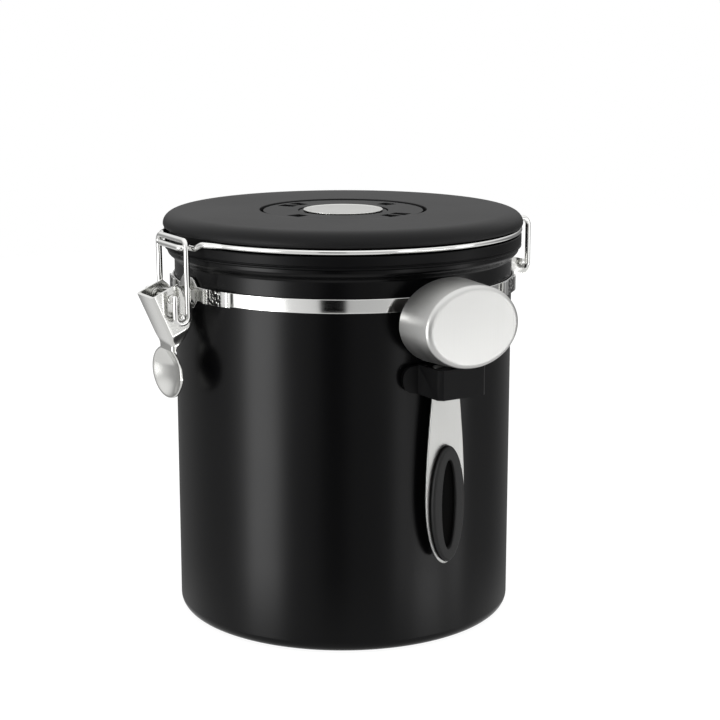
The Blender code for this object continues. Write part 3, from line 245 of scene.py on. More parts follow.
# Strap: two bands of bright rolled stainless, 4.9 mm wide, that run round the can
# from the clasp's bracket to the hinge's and clamp both of them to it.
def rounded_section():
    """Rows (side, cos, level, sin) round a box: each corner is a quarter circle of 5 points."""
    quarter = np.linspace(0.0, np.pi / 2, 5)
    rows = []
    for number, (side, level) in enumerate([(1, 1), (-1, 1), (-1, -1), (1, -1)]):
        turn = quarter + number * np.pi / 2
        rows.append(np.column_stack((np.full(5, side), np.cos(turn), np.full(5, level), np.sin(turn))))
    return np.vstack(rows).T


def band(azimuths, middle_radius, half_thickness, low, high, edge):
    """A rounded box, 2 t(a) thick and from low(a) to high(a), is carried round the can by azimuth a."""
    side, across, level, up = rounded_section()
    limits = (half_thickness, low, high)
    thickness, low, high = (np.broadcast_to(value, azimuths.shape)[:, None] for value in limits)
    radius = middle_radius + side * (thickness - edge) + across * edge
    height = (low + high) / 2 + level * ((high - low) / 2 - edge) + up * edge
    angle = azimuths[:, None]
    grid = np.stack((radius * np.sin(angle), -radius * np.cos(angle), height), axis=-1)
    return surface(grid, wrap_v=True, capped=True)


# Bright rolled stainless: long rolling lines run round the can, 0.25 mm apart.
strap_steel, tree, shader, place = new_finish("stainless_bright_rolled", "#eeeeec", 0.11, 1.0)
lines = streaks(place, (30.0, 30.0, 4000.0), 3.0)
# The teeth of the folds get a painted shade, dark and mottled in patches of about 1 mm, that stands for shade
# and dark reflections in the crimp.
crimp = add(tree, "ShaderNodeAttribute", attribute_name="crimp").outputs["Fac"]
blotches = add(tree, "ShaderNodeTexNoise", {"Vector": place, "Scale": 900.0, "Detail": 2.0})
cover = add(tree, "ShaderNodeMapRange", {"Value": blotches, "From Min": 0.62, "From Max": 0.51})
# Painted shade: the crimp mask, mottled, darkens the fold's teeth.
crimp_painted_shade = add(tree, "ShaderNodeMath", {0: crimp, 1: cover}, operation="MULTIPLY")
bring_out(shader, lines, gloss=(0.07, 0.15), relief=(0.08, 0.00002))
bring_out(shader, crimp_painted_shade, tones=("#eeeeec", "#171716"))

strap_low = 0.1221
strap_high = 0.1270
strap_radius = 0.0631
strap_half_sheet = 0.0003
strap_edge = 0.0002
fold_radius = 0.06405
fold_half_sheet = 0.00035
fold_edge = 0.00018
fold_overlap = 0.0002
rib_rise = 0.00012
tooth_sink = 0.00005
gap_sink = 0.00014
clasp_end = -79.6
hinge_end = 49.1
for side in ("front", "back"):
    azimuths = np.radians(np.linspace(clasp_end, hinge_end, 140))
    azimuths = azimuths if side == "front" else np.pi - azimuths
    strap_mesh = band(azimuths, strap_radius, strap_half_sheet, strap_low, strap_high, strap_edge)
    strap = finish("strap_band_" + side, strap_steel, strap_mesh)
    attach(strap, "canister")
    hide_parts("strap_" + side)

    # Folds: the strap's end goes through the bracket and back over itself, and is
    # crimped. It shows two ribs, a toothed grip and a plain end with a dark gap.
    for bracket, start, end in (("clasp", clasp_end, -66.8), ("hinge", hinge_end, 33.1)):
        share = np.linspace(0.0, 1.0, 161)
        ribs = np.where(share < 0.22, 0.5 - 0.5 * np.cos(share / 0.22 * 4 * np.pi), 0.0)
        toothed = (share > 0.26) & (share < 0.66)
        teeth = np.where(toothed, 0.5 - 0.5 * np.cos(share * 2 * np.pi / 0.05), 0.0)
        gap = np.exp(-(((share - 0.90) / 0.02) ** 2))
        thickness = fold_half_sheet + rib_rise * ribs - tooth_sink * teeth - gap_sink * gap
        azimuths = np.radians(start + (end - start) * share)
        azimuths = azimuths if side == "front" else np.pi - azimuths
        name = "fold_" + bracket + "_" + side
        low, high = strap_low - fold_overlap, strap_high + fold_overlap
        fold = finish(name, strap_steel, band(azimuths, fold_radius, thickness, low, high, fold_edge))
        x, y, z = np.array([vertex.co for vertex in fold.data.vertices]).T
        along = (np.degrees(np.arctan2(x, abs(y))) - start) / (end - start)
        # Painted shade: this mask marks the toothed part of the fold, which the strap's material darkens.
        teeth_painted_shade = np.interp(along, (0.19, 0.25, 0.68, 0.74), (0.0, 1.0, 1.0, 0.0))
        fold.data.attributes.new("crimp", "FLOAT", "POINT").data.foreach_set("value", teeth_painted_shade)
        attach(fold, "canister")
        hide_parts("strap_" + name)


# Brackets: stamped from 0.8 mm stainless and bent round the can under the strap.
# The clasp's carries two ears for the lever's rivet, the hinge's two for the wire.
def softened(source, name, material, width, angle=40.0):
    """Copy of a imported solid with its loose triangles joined, so that its edges can be rounded."""
    shape = bmesh.new()
    shape.from_mesh(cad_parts[source].data)
    bmesh.ops.remove_doubles(shape, verts=shape.verts, dist=0.00001)
    bmesh.ops.dissolve_limit(shape, angle_limit=np.radians(0.5), verts=shape.verts, edges=shape.edges)
    piece = as_piece(name, material, shape, angle)
    rounding = piece.modifiers.new("Rounding", "BEVEL")
    rounding.width = width
    rounding.segments = 2
    rounding.limit_method = "ANGLE"
    rounding.angle_limit = np.radians(angle)
    rounding.use_clamp_overlap = True
    return piece


# Stamped stainless, tumbled after stamping: soft gloss with a fine random haze
# and faint scuffs 2 to 3 mm long.
stamped_steel, tree, shader, place = new_finish("stainless_stamped_tumbled", "#dbdbd8", 0.16, 1.0)
haze = add(tree, "ShaderNodeTexNoise", {"Vector": place, "Scale": 1400.0, "Detail": 3.0})
scuffs = streaks(place, (400.0, 2500.0, 2500.0), 1.0, rotation=(0.4, 0.9, 0.3))
blend = add(tree, "ShaderNodeMath", {0: haze, 1: scuffs}, operation="ADD")
wear = add(tree, "ShaderNodeMapRange", {"Value": blend, "From Min": 0.6, "From Max": 1.4})
bring_out(shader, haze, relief=(0.03, 0.00001))
bring_out(shader, wear, gloss=(0.13, 0.19))


def ear_plate(outline, hole_centre, hole_radius, half_sheet, offset):
    """Outline and hole share one angle t about the hole; a rounded profile joins them through the sheet."""
    spacing = 0.0004
    sides = zip(outline, np.roll(outline, -1, axis=0))
    runs = [np.linspace(a, b, int(np.hypot(*(b - a)) / spacing) + 2)[:-1] for a, b in sides]
    points = np.vstack(runs) - hole_centre
    angle, first = np.unique(np.arctan2(points[:, 1], points[:, 0]).round(4), return_index=True)
    edge = np.hypot(*points[first].T)
    soft = 0.00012
    rounding = np.linspace(0.0, np.pi / 2, 4)
    outward = np.concatenate((np.sin(rounding) - 1, np.sin(rounding[::-1]) - 1)) * soft
    inset = soft * (1 - np.cos(rounding))
    through = np.concatenate((inset - half_sheet, half_sheet - inset[::-1]))
    radius = np.concatenate((edge[:, None] + outward, hole_radius - outward + 0 * edge[:, None]), axis=1)
    across = np.concatenate((through, through[::-1]))
    grid = np.stack((
        hole_centre[0] + radius * np.cos(angle[:, None]), offset + across + 0 * radius,
        hole_centre[1] + radius * np.sin(angle[:, None]),
    ), axis=-1)
    return surface(grid, wrap_u=True, wrap_v=True)


pivot_reach = 0.072646
pivot_height = 0.1234
bracket_inner = 0.0628
bracket_sheet = 0.0008
bracket_edge = 0.00025
bracket_middle = bracket_inner + bracket_sheet / 2
# Each bracket: its side, half width, tail in degrees, foot and head, then its ears'
# offset, half sheet, reach, height, tip, shoulder and hole.
for source, side, half_width, tail, foot, head, ears in (
    ("clasp_bracket", -1, 0.0070, 9.5, 0.1190, 0.1300,
     (0.0052, 0.0005, pivot_reach, pivot_height, 0.0024, 0.0024, 0.0015)),
    ("hinge_bracket", 1, 0.0103, 40.0, 0.1200, 0.1290,
     (0.0091, 0.0004, 0.0753, 0.1240, 0.0032, 0.0041, 0.00135)),
):
    offset, half_sheet, ear_reach, ear_height, tip, shoulder, hole = ears
    middle_angle = np.degrees(half_width / bracket_middle)
    meshes = []
    for angle, low, high, skin in ((tail, strap_low, strap_high, 0.00003), (middle_angle, foot, head, 0.0)):
        turn = np.linspace(-angle, angle, int(4 * angle) + 2)
        azimuths = np.radians(side * 90.0 + turn)
        slope = np.clip((np.abs(turn) - 0.5 * angle) / (0.5 * angle), 0.0, 1.0) ** 1.5
        low = low + slope * (strap_low - low)
        high = high + slope * (strap_high - high)
        meshes.append(band(azimuths, bracket_middle, bracket_sheet / 2 - skin, low, high, bracket_edge))
    root = np.sqrt(bracket_middle**2 - offset**2)
    if side < 0:
        corners = [
            (root, ear_height - tip, 0.0), (ear_reach + tip, ear_height - tip, tip * 0.98),
            (ear_reach + tip, ear_height + tip, tip * 0.98), (root, ear_height + tip, 0.0),
        ]
    else:
        corners = [
            (root, foot + 0.0009, 0.0), (ear_reach + 0.001, ear_height - tip, 0.002),
            (ear_reach + tip, ear_height - 0.001, 0.002), (ear_reach + tip, ear_height + 0.0022, 0.0016),
            (ear_reach - 0.0048, ear_height + shoulder, 0.002), (root, ear_height + shoulder, 0.0),
        ]
    outline = fillet(corners, steps=10)
    for across in (-offset, offset):
        ear = ear_plate(outline, (ear_reach, ear_height), hole, half_sheet, across)
        ear.transform(Matrix.Diagonal((side, 1.0, 1.0, 1.0)))
        meshes.append(ear)
    bracket = finish(source + "_stamped", stamped_steel, *meshes)
    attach(bracket, "canister")
    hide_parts(source)


# Rivet: a hollow steel rivet through the lever and the clasp's ears, rolled over
# at both ends into a small ring with a dark bore.
def moved(mesh, where):
    """Every point (x, y, z) of the mesh goes to where(x, y, z)."""
    place = np.empty(len(mesh.vertices) * 3)
    mesh.vertices.foreach_get("co", place)
    mesh.vertices.foreach_set("co", np.column_stack(where(*place.reshape(-1, 3).T)).ravel())
    return mesh


rivet_bore = 0.0008
rivet_radius = 0.0012
rivet_head = 0.0017
rivet_end = 0.0079
rivet_neck = 0.0073
half_rivet = [
    (rivet_bore, 0.0076, 0.0), (rivet_bore, rivet_end, 0.00015), (rivet_head, rivet_end, 0.00035),
    (rivet_head, rivet_neck, 0.0001), (rivet_radius, rivet_neck, 0.0),
]
other_half = [(radius, -along, arc) for radius, along, arc in half_rivet[::-1]]
rivet_profile = fillet(half_rivet + [(rivet_radius, 0.0, 0.0)] + other_half, steps=4)
rivet_mesh = revolve(np.vstack((rivet_profile, rivet_profile[:1])), steps=48)
moved(rivet_mesh, lambda across, along, up: (across - pivot_reach, up, along + pivot_height))
rivet = finish("rivet", stamped_steel, rivet_mesh)
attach(rivet, "canister")
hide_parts("lever_rivet")


# Lever: one stamping from 1 mm stainless. A channel with two ears straddles the
# bracket; lower down the ears run out, its back bends upright and ends in a dished tab.
lever_tilt = np.radians(24.0)
lever_half_width = 0.007
lever_sheet = 0.001
web_reach = 0.0066
tab_radius = 0.00935
tab_widening = 1.36
tab_depth = 0.0035
tab_height = 0.09615
tab_reach = 0.072446

down = np.linspace(-0.0038, 0.0177, 87)
edge_down = (-0.0038, -0.0008, 0.0067, 0.0117, 0.0146, 0.0162, 0.0177)
edge_out = (-0.0041, -0.0056, -0.0056, -0.0032, 0.0008, 0.0046, 0.0047)
front_edge = np.interp(down, edge_down, edge_out)
kernel = np.hanning(11) / np.hanning(11).sum()
front_edge = np.convolve(np.pad(front_edge, 5, mode="edge"), kernel, mode="valid")
narrowing = np.clip((down - 0.0120) / 0.0040, 0.0, 1.0)
half_width = lever_half_width - 0.0013 * narrowing**2 * (3 - 2 * narrowing)

# The channel's section is a U: out along one ear, round a corner, across the web
# and back along the other ear, with the inner skin one sheet inside.
corner = 0.0012
lip_round = 0.0005
turn = np.linspace(0.0, np.pi / 2, 7)
level = np.linspace(0.0, 1.0, 9)
edge_round = np.linspace(0.0, np.pi, 6)
sections = []
for skin, radius in ((0.0, corner), (lever_sheet, corner - lever_sheet + 0.0003)):
    width = half_width[:, None] - skin
    outer = web_reach - skin
    start = front_edge[:, None] + lip_round
    run = start + (outer - radius - start) * level
    ear = np.stack((width + 0 * run, run), axis=-1)
    turned_across = width - radius + radius * np.cos(turn)
    turned_out = outer - radius + radius * np.sin(turn) + 0 * width
    bend = np.stack((turned_across, turned_out), axis=-1)
    right = np.concatenate((ear, bend), axis=1)
    left = right[:, ::-1] * (-1.0, 1.0)
    sections.append(np.concatenate((right, left), axis=1))
lip = half_width[:, None] - lever_sheet / 2
tip = front_edge[:, None] + lip_round
lip_across = lip - lever_sheet / 2 * np.cos(edge_round)
right_lip = np.stack((lip_across, tip - lip_round * np.sin(edge_round)), axis=-1)
left_lip = right_lip[:, ::-1] * (-1.0, 1.0)
section = np.concatenate((right_lip[:, 1:-1], sections[0], left_lip[:, 1:-1], sections[1][:, ::-1]), axis=1)
across, out = section[..., 0], section[..., 1]
bend = np.clip((down - 0.0132) / 0.0045, 0.0, 1.0)
tilt = (lever_tilt * (1 - bend**2 * (3 - 2 * bend)))[:, None]
step = down[1] - down[0]
web_drop = np.cumsum(np.cos(tilt), axis=0) * step + (down[0] - step) * np.cos(lever_tilt)
web_in = np.cumsum(np.sin(tilt), axis=0) * step + (down[0] - step) * np.sin(lever_tilt)
from_web = out - web_reach
reach = pivot_reach + web_reach * np.cos(lever_tilt) - web_in + from_web * np.cos(tilt)
height = pivot_height - web_reach * np.sin(lever_tilt) - web_drop - from_web * np.sin(tilt)
channel = surface(np.stack((-reach, across, height), axis=-1), wrap_v=True, capped=True)

# The tab is a bowl pressed towards the can, with a rolled edge round its rim.
share = np.linspace(0.0, 1.0, 33)
bowl_radius = tab_radius * 0.93
rim_radius = tab_radius - 0.0001
bowl = np.column_stack((bowl_radius * share, -tab_depth * (1 - share**2) ** 1.15))
rim = fillet([
    (bowl_radius, 0.0, 0.0), (rim_radius, 0.0, 0.0003), (rim_radius, -lever_sheet, 0.0003),
    (bowl_radius, -lever_sheet, 0.0),
], steps=5)
tab_mesh = revolve(np.vstack((bowl, rim, bowl[::-1] - (0.0, lever_sheet))), steps=96)
moved(tab_mesh, lambda right, up, out: (-tab_reach - out, right * tab_widening, tab_height + up))

lever = finish("lever_stamping", stamped_steel, channel, tab_mesh, smooth=50.0)
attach(lever, "lever")
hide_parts("clasp_lever")


# Wires: hard-drawn 2.1 mm stainless, bent on pins and polished by barrelling, so
# the faint drawing lines along it blur into a bright gloss, uneven every 1.7 mm.
def tube(path, radius, steps=20):
    """A circle of radius r stands square to the path and turns no more than it does; the ends are domed."""
    path = np.asarray(path, dtype=float)
    keep = np.concatenate(([True], np.linalg.norm(np.diff(path, axis=0), axis=1) > 1e-6))
    path = path[keep]
    ahead = np.gradient(path, axis=0)
    ahead /= np.linalg.norm(ahead, axis=1)[:, None]
    side = np.cross(ahead[0], (0.3, 0.5, 0.8))
    sides = []
    for direction in ahead:
        side = side - direction * (side @ direction)
        side = side / np.linalg.norm(side)
        sides.append(side)
    sides = np.array(sides)
    lean = np.linspace(0.0, np.pi / 2, 6)[:, None]
    inset = 0.4 * radius * (1 - np.cos(lean))
    dome = np.sin(lean)
    centre = np.vstack((path[0] + ahead[0] * inset, path[1:-1], path[-1] - ahead[-1] * inset[::-1]))
    size = radius * np.vstack((dome, np.ones((len(path) - 2, 1)), dome[::-1]))[:, :, None]
    repeats = [6] + [1] * (len(path) - 2) + [6]
    ahead, sides = np.repeat(ahead, repeats, axis=0), np.repeat(sides, repeats, axis=0)
    other = np.cross(ahead, sides)
    angle = np.linspace(0.0, 2 * np.pi, steps, endpoint=False)[None, :, None]
    grid = centre[:, None] + size * (np.cos(angle) * sides[:, None] + np.sin(angle) * other[:, None])
    return surface(grid, wrap_v=True)


wire_steel, tree, shader, place = new_finish("stainless_wire_barrelled", "#e2e2e0", 0.12, 1.0)
uneven = add(tree, "ShaderNodeTexNoise", {"Vector": place, "Scale": 600.0, "Detail": 3.0})
bring_out(shader, uneven, gloss=(0.05, 0.12), relief=(0.06, 0.00003))

# Bail: its bar pulls down on the ring's nose, and each leg hooks round the pin
# that crosses the lever and ends beside it.
wire_radius = 0.00105
bail_half_width = 0.0118
bail_leg_reach = 0.068846
pin_reach = 0.071146
pin_height = 0.1178
hook_radius = pin_reach - bail_leg_reach
bar_height = 0.1441
tail_height = pin_height + 0.0078

turn = np.linspace(0.0, -np.pi, 33)
half = [(-(pin_reach + hook_radius), bail_half_width, tail_height)]
half += [
    (-(pin_reach + hook_radius * cosine), bail_half_width, pin_height + hook_radius * sine)
    for cosine, sine in zip(np.cos(turn), np.sin(turn))
]
bar_reach = bail_leg_reach + 0.0002
half += bent([
    (half[-1], 0.0), ((-bar_reach, bail_half_width, bar_height), 0.0023),
    ((-bar_reach, -bail_half_width, bar_height), 0.0),
])[1:-1]
half = np.array(half)
bail = finish("bail_loop", wire_steel, tube(np.vstack((half, half[::-1] * (1, -1, 1))), wire_radius))
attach(bail, "bail")
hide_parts("bail_wire")

pin_half = bail_half_width + wire_radius + 0.0005
path = [(-pin_reach, side * pin_half, pin_height) for side in (-1.0, -0.9, 0.0, 0.9, 1.0)]
pin_radius = 0.00095
pin = finish("bail_cross_pin", wire_steel, tube(path, pin_radius))
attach(pin, "lever")
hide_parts("bail_pin")

# Ring wire: runs in the groove between collar and cap. At the hinge its two legs
# turn down into the bracket's ears, at the clasp it kinks out and down to a nose.
ring_radius = 0.0652
ring_height = 0.14335
run_radius = 0.06745
nose_height = 0.1416
nose_reach = 0.070346
nose_half_width = 0.0093
hinge_reach = 0.0753
hinge_height = 0.124


def around_can(radius, degrees, height):
    """Place at an azimuth that is counted from -Y towards +X."""
    angle = np.radians(degrees)
    return np.stack((radius * np.sin(angle), -radius * np.cos(angle), height + 0 * angle), axis=-1)


leg_width = 0.012
leg_end = 0.0085
leave = around_can(ring_radius, 76.0, ring_height)
turn_in = leave[0] + (-leg_width - leave[1]) * np.tan(np.radians(14.0))
half = bent([
    ((hinge_reach, -leg_end, hinge_height), 0.0), ((hinge_reach, -leg_width, hinge_height), 0.0016),
    ((hinge_reach, -leg_width, ring_height), 0.003), ((turn_in, -leg_width, ring_height), 0.003),
    (leave, 0.0),
])
half += list(around_can(ring_radius, np.linspace(75.0, -68.0, 120), ring_height))
eased = np.linspace(0.0, 1.0, 13)[1:]
smooth = eased**2 * (3 - 2 * eased)
widened = ring_radius + (run_radius - ring_radius) * smooth
lowered = ring_height + (nose_height - ring_height) * smooth
half += list(around_can(widened, -68.0 - 7.0 * eased, ring_height))
half += list(around_can(run_radius, -75.0 - 4.4 * eased, lowered))
entry = around_can(run_radius, -90.0 + np.degrees(np.arcsin(nose_half_width / run_radius)), nose_height)
half += bent([
    (half[-1], 0.0), (entry, 0.0017), ((-nose_reach, -nose_half_width, nose_height), 0.0017),
    ((-nose_reach, nose_half_width, nose_height), 0.0),
])[1:-1]
half = np.array(half)
ring = finish("ring_wire", wire_steel, tube(np.vstack((half, half[::-1] * (1, -1, 1))), wire_radius))
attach(ring, "lid")
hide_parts("lid_ring")


# Lid base: moulded black ABS. Its collar sits on the can's rim, a plug goes into
# the mouth, and a boss stands up inside the groove and carries the cap. Its grain
# is 0.5 mm wide and its flow marks are 17 mm, from the mould.
black_plastic, tree, shader, place = new_finish("abs_moulded_black", "#070708", 0.38, specular=0.1)
grain = add(tree, "ShaderNodeTexNoise", {"Vector": place, "Scale": 1800.0, "Detail": 2.0})
flow = add(tree, "ShaderNodeTexNoise", {"Vector": place, "Scale": 60.0, "Detail": 2.0})
bring_out(shader, grain, relief=(0.15, 0.00002))
bring_out(shader, flow, tones=("#060607", "#0a0a0b"), gloss=(0.32, 0.45))

collar_radius = 0.066
lid_foot = 0.1373
collar_top = 0.1419
gasket_seat = 0.1385
roof = gasket_seat + 0.0014
boss_radius = 0.0638
boss_top = 0.1445
plug_radius = 0.057
plug_foot = 0.1315
plug_floor = 0.1335
valve_hole = 0.0123
groove_outer = collar_radius - 0.0007
groove_inner = groove_outer - 0.0035 - 0.0006
bead_radius = collar_radius - 0.0004
lid_wall = 0.002
under_ribs = plug_foot + 0.0004
base_profile = fillet([
    (collar_radius, 0.1396, 0.0), (collar_radius, 0.1386, 0.00015), (bead_radius, 0.1384, 0.00015),
    (bead_radius, 0.1381, 0.00015), (collar_radius, 0.1379, 0.00015), (collar_radius, lid_foot, 0.0002),
    (groove_outer, lid_foot, 0.0001), (groove_outer, gasket_seat, 0.0), (groove_inner, gasket_seat, 0.0),
    (groove_inner, lid_foot, 0.0002), (plug_radius, lid_foot, 0.0004), (plug_radius, plug_foot, 0.0006),
    (0.052, plug_foot, 0.0003), (0.0515, under_ribs, 0.0003), (0.024, under_ribs, 0.0003),
    (0.0235, plug_foot, 0.0003), (valve_hole, plug_foot, 0.0002), (valve_hole, plug_floor, 0.0002),
    (plug_radius - lid_wall, plug_floor, 0.0005), (plug_radius - lid_wall, roof, 0.0003),
    (boss_radius - lid_wall, roof, 0.0003), (boss_radius - lid_wall, boss_top, 0.0002),
    (boss_radius, boss_top, 0.0003), (boss_radius, collar_top, 0.0004), (collar_radius, collar_top, 0.0004),
    (collar_radius, 0.1396, 0.0),
], steps=5)
base = finish("lid_base_moulded", black_plastic, revolve(base_profile))
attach(base, "lid")
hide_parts("lid_base")


# Gasket: black silicone ring in the collar's groove, with two soft sealing lips
# that meet the can's rim. A faint bloom lies on it in patches of 4 to 5 mm.
rubber, tree, shader, place = new_finish("silicone_moulded_black", "#0b0b0b", 0.55, specular=0.35)
bloom = add(tree, "ShaderNodeTexNoise", {"Vector": place, "Scale": 220.0, "Detail": 4.0})
bring_out(shader, bloom, tones=("#090909", "#121212"), gloss=(0.46, 0.62), relief=(0.1, 0.00003))

outer = groove_outer - 0.0003
inner = outer - 0.0035
lip = lid_foot + 0.0002
gasket_top = 0.1382
gasket_profile = fillet([
    (outer - 0.0001, 0.1380, 0.0), (outer, lid_foot, 0.0002), (outer - 0.0009, lid_foot, 0.0002),
    (outer - 0.0013, lip, 0.0002), (outer - 0.0022, lip, 0.0002), (outer - 0.0026, lid_foot, 0.0002),
    (inner, lid_foot, 0.0002), (inner, gasket_top, 0.0002), (outer, gasket_top, 0.0002),
    (outer - 0.0001, 0.1380, 0.0),
], steps=5)
gasket = finish("gasket_ring", rubber, revolve(gasket_profile))
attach(gasket, "lid")
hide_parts("lid_gasket")


# Cap: moulded charcoal polypropylene with a soft spark-eroded texture, a round
# shoulder like a pebble's edge, and a shallow well for the date dial. The texture
# is 0.45 mm wide, coarser than the real 0.1 mm, and drifts over 30 mm.
cap_plastic, tree, shader, place = new_finish("polypropylene_textured_charcoal", "#0b0b0c", 0.5, specular=0.2)
spark = add(tree, "ShaderNodeTexNoise", {"Vector": place, "Scale": 2200.0, "Detail": 3.0})
cloud = add(tree, "ShaderNodeTexNoise", {"Vector": place, "Scale": 35.0, "Detail": 3.0})
bring_out(shader, spark, relief=(0.25, 0.00003))
bring_out(shader, cloud, tones=("#0a0a0b", "#0e0e0f"), gloss=(0.47, 0.55))

cap_radius = 0.0665
cap_top_radius = 0.060
cap_foot = 0.1448
cap_shoulder = 0.14555
lid_top = 0.15015
recess_radius = 0.0309
dial_floor = 0.14675
ceiling = lid_top - 0.0018
stem_hole = 0.0033
turn = np.linspace(0.0, np.pi / 2, 25)
shoulder = np.column_stack((
    cap_top_radius + (cap_radius - cap_top_radius) * np.sin(turn) ** 0.92,
    cap_shoulder + (lid_top - cap_shoulder) * np.cos(turn) ** 0.92,
))
apron = 0.034
top = np.column_stack((np.linspace(apron, cap_top_radius, 12), np.full(12, lid_top)))
well_radius = recess_radius + 0.002
well_foot = dial_floor - 0.0016
under = fillet([
    (cap_radius, cap_shoulder, 0.0), (cap_radius - 0.0003, cap_foot, 0.0002),
    (boss_radius - 0.0023, cap_foot, 0.0002), (boss_radius - 0.0053, ceiling, 0.001),
    (well_radius, ceiling, 0.0004), (well_radius, well_foot, 0.0003), (stem_hole, well_foot, 0.0),
    (stem_hole, dial_floor, 0.0), (recess_radius, dial_floor, 0.0002), (recess_radius, lid_top, 0.00035),
    (apron, lid_top, 0.0),
], steps=5)
cap = finish("cap_moulded", cap_plastic, revolve(np.vstack((top, shoulder[1:], under[1:]))))
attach(cap, "lid")
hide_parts("lid_cap")


# Number plate: a black disc with the figures 1 to 12 twice round it, pad-printed
# in pale grey, that shows through the date ring's windows. Its grain is 0.7 mm.
plate_plastic, tree, shader, place = new_finish("polystyrene_moulded_black", "#080808", 0.6, specular=0.05)
grain = add(tree, "ShaderNodeTexNoise", {"Vector": place, "Scale": 1500.0, "Detail": 2.0})
bring_out(shader, grain, tones=("#060606", "#0b0b0b"), relief=(0.15, 0.00002))

plate_foot = 0.14705
plate_top = 0.14765
date_ring_radius = 0.0296
disc = fillet([
    (stem_hole, plate_top, 0.0), (date_ring_radius, plate_top, 0.0001),
    (date_ring_radius, plate_foot, 0.0001), (stem_hole, plate_foot, 0.0), (stem_hole, plate_top, 0.0),
], steps=3)
plate = finish("number_disc", plate_plastic, revolve(disc, steps=128))
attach(plate, "lid")
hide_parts("number_plate")

# Pad-printing ink: a thin pale grey film, mottled every 0.4 mm where it takes unevenly.
ink, tree, shader, place = new_finish("ink_pad_printed_grey", "#868683", 0.6, specular=0.1)
mottle = add(tree, "ShaderNodeTexNoise", {"Vector": place, "Scale": 2500.0, "Detail": 2.0})
bring_out(shader, mottle, tones=("#747472", "#969693"))
figure_size = 0.0038
figure_circle = 0.0242
film = 0.00003
figures = []
for number in range(24):
    written = bpy.data.curves.new("figure", "FONT")
    written.body = str(number % 12 + 1)
    written.size = figure_size
    written.align_x = "CENTER"
    written.align_y = "CENTER"
    written.extrude = 0.00004
    written.resolution_u = 3
    drawn = bpy.data.objects.new("figure", written)
    scene.collection.objects.link(drawn)
    bpy.context.view_layer.update()
    mesh = bpy.data.meshes.new_from_object(drawn.evaluated_get(bpy.context.evaluated_depsgraph_get()))
    bpy.data.objects.remove(drawn)
    angle = np.radians(14.5 + 15.0 * number)
    figures.append(moved(mesh, lambda x, y, z: (
        (figure_circle - y) * np.sin(angle) + x * np.cos(angle),
        (y - figure_circle) * np.cos(angle) + x * np.sin(angle), plate_top + film + z,
    )))
print_layer = finish("number_print", ink, *figures)
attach(print_layer, "lid")

# Date ring: turns on the hub. Four windows go through it and two finger notches
# are sunk in its face; it is the cap's own plastic.
date_ring = softened("date_ring", "date_ring_moulded", cap_plastic, 0.00012)
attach(date_ring, "dial")
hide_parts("date_ring")

# Hub: snaps through the lid's floor and holds the ring down by its inner ledge.
hub_radius = 0.0151
ledge_radius = 0.0164
hub_top = 0.14935
ledge_foot = 0.14885
hub_foot = 0.14795
stem_radius = 0.003
stem_foot = 0.14515
hub_profile = fillet([
    (0.0, hub_top, 0.0), (ledge_radius, hub_top, 0.0002), (ledge_radius, ledge_foot, 0.0001),
    (hub_radius, ledge_foot, 0.0), (hub_radius, hub_foot, 0.0001), (stem_radius, hub_foot, 0.0),
    (stem_radius, stem_foot, 0.0002), (0.0, stem_foot, 0.0),
], steps=4)
hub = finish("hub_moulded", black_plastic, revolve(hub_profile, steps=128))
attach(hub, "lid")
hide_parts("dial_hub")

# Badge: a bare disc of thin stainless glued on the hub, brushed straight across
# with strokes about 0.3 mm wide, and coined to a low dome inside a fine rim.
badge_steel, tree, shader, place = new_finish("stainless_brushed_straight", "#d6d6d3", 0.3, 1.0)
strokes = streaks(place, (60.0, 3000.0, 60.0), 4.0, rotation=(0.0, 0.0, 0.5))
bring_out(shader, strokes, gloss=(0.22, 0.48), relief=(0.25, 0.00003))
badge_radius = 0.0147
badge_rim = 0.15010
badge_foot = 0.14965
badge_profile = fillet([
    (0.0, 0.15015, 0.0), (0.004, 0.15014, 0.0), (0.009, 0.15009, 0.0), (0.0138, 0.14998, 0.0002),
    (0.0140, badge_rim, 0.0001), (badge_radius, badge_rim, 0.00015), (badge_radius, badge_foot, 0.0001),
    (0.0, badge_foot, 0.0),
], steps=4)
badge = finish("badge_brushed", badge_steel, revolve(badge_profile, steps=128))
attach(badge, "lid")
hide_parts("badge_disc")


# Gas valve: a white seat pressed into the lid's floor, a silicone umbrella that
# covers its vents, and a felt disc below that keeps the grounds out. The seat's
# flow marks are 5 to 6 mm wide.
white_plastic, tree, shader, place = new_finish("polypropylene_moulded_white", "#d8d9d8", 0.4)
flow = add(tree, "ShaderNodeTexNoise", {"Vector": place, "Scale": 180.0, "Detail": 3.0})
bring_out(shader, flow, tones=("#d0d1d0", "#dfe0de"), gloss=(0.34, 0.46))
seat = softened("valve_seat", "valve_seat_moulded", white_plastic, 0.0001)
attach(seat, "lid")
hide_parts("valve_seat")

low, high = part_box("umbrella_valve")
flap_radius = high.x
flap_top = high.z
flap_foot = flap_top - 0.0011
crown_drop = 0.0007
umbrella_stem = 0.0015
crown = np.linspace(0.0, 1.0, 14)
umbrella_profile = np.vstack((
    np.column_stack((flap_radius * crown, flap_top - crown_drop * crown**2.2)),
    fillet([
        (flap_radius, flap_top - crown_drop, 0.0), (flap_radius, flap_foot, 0.0001),
        (umbrella_stem, flap_foot, 0.0002), (umbrella_stem, low.z, 0.0003), (0.0, low.z, 0.0),
    ], steps=4)[1:],
))
umbrella = finish("umbrella_flap", rubber, revolve(umbrella_profile, steps=64))
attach(umbrella, "lid")
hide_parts("umbrella_valve")

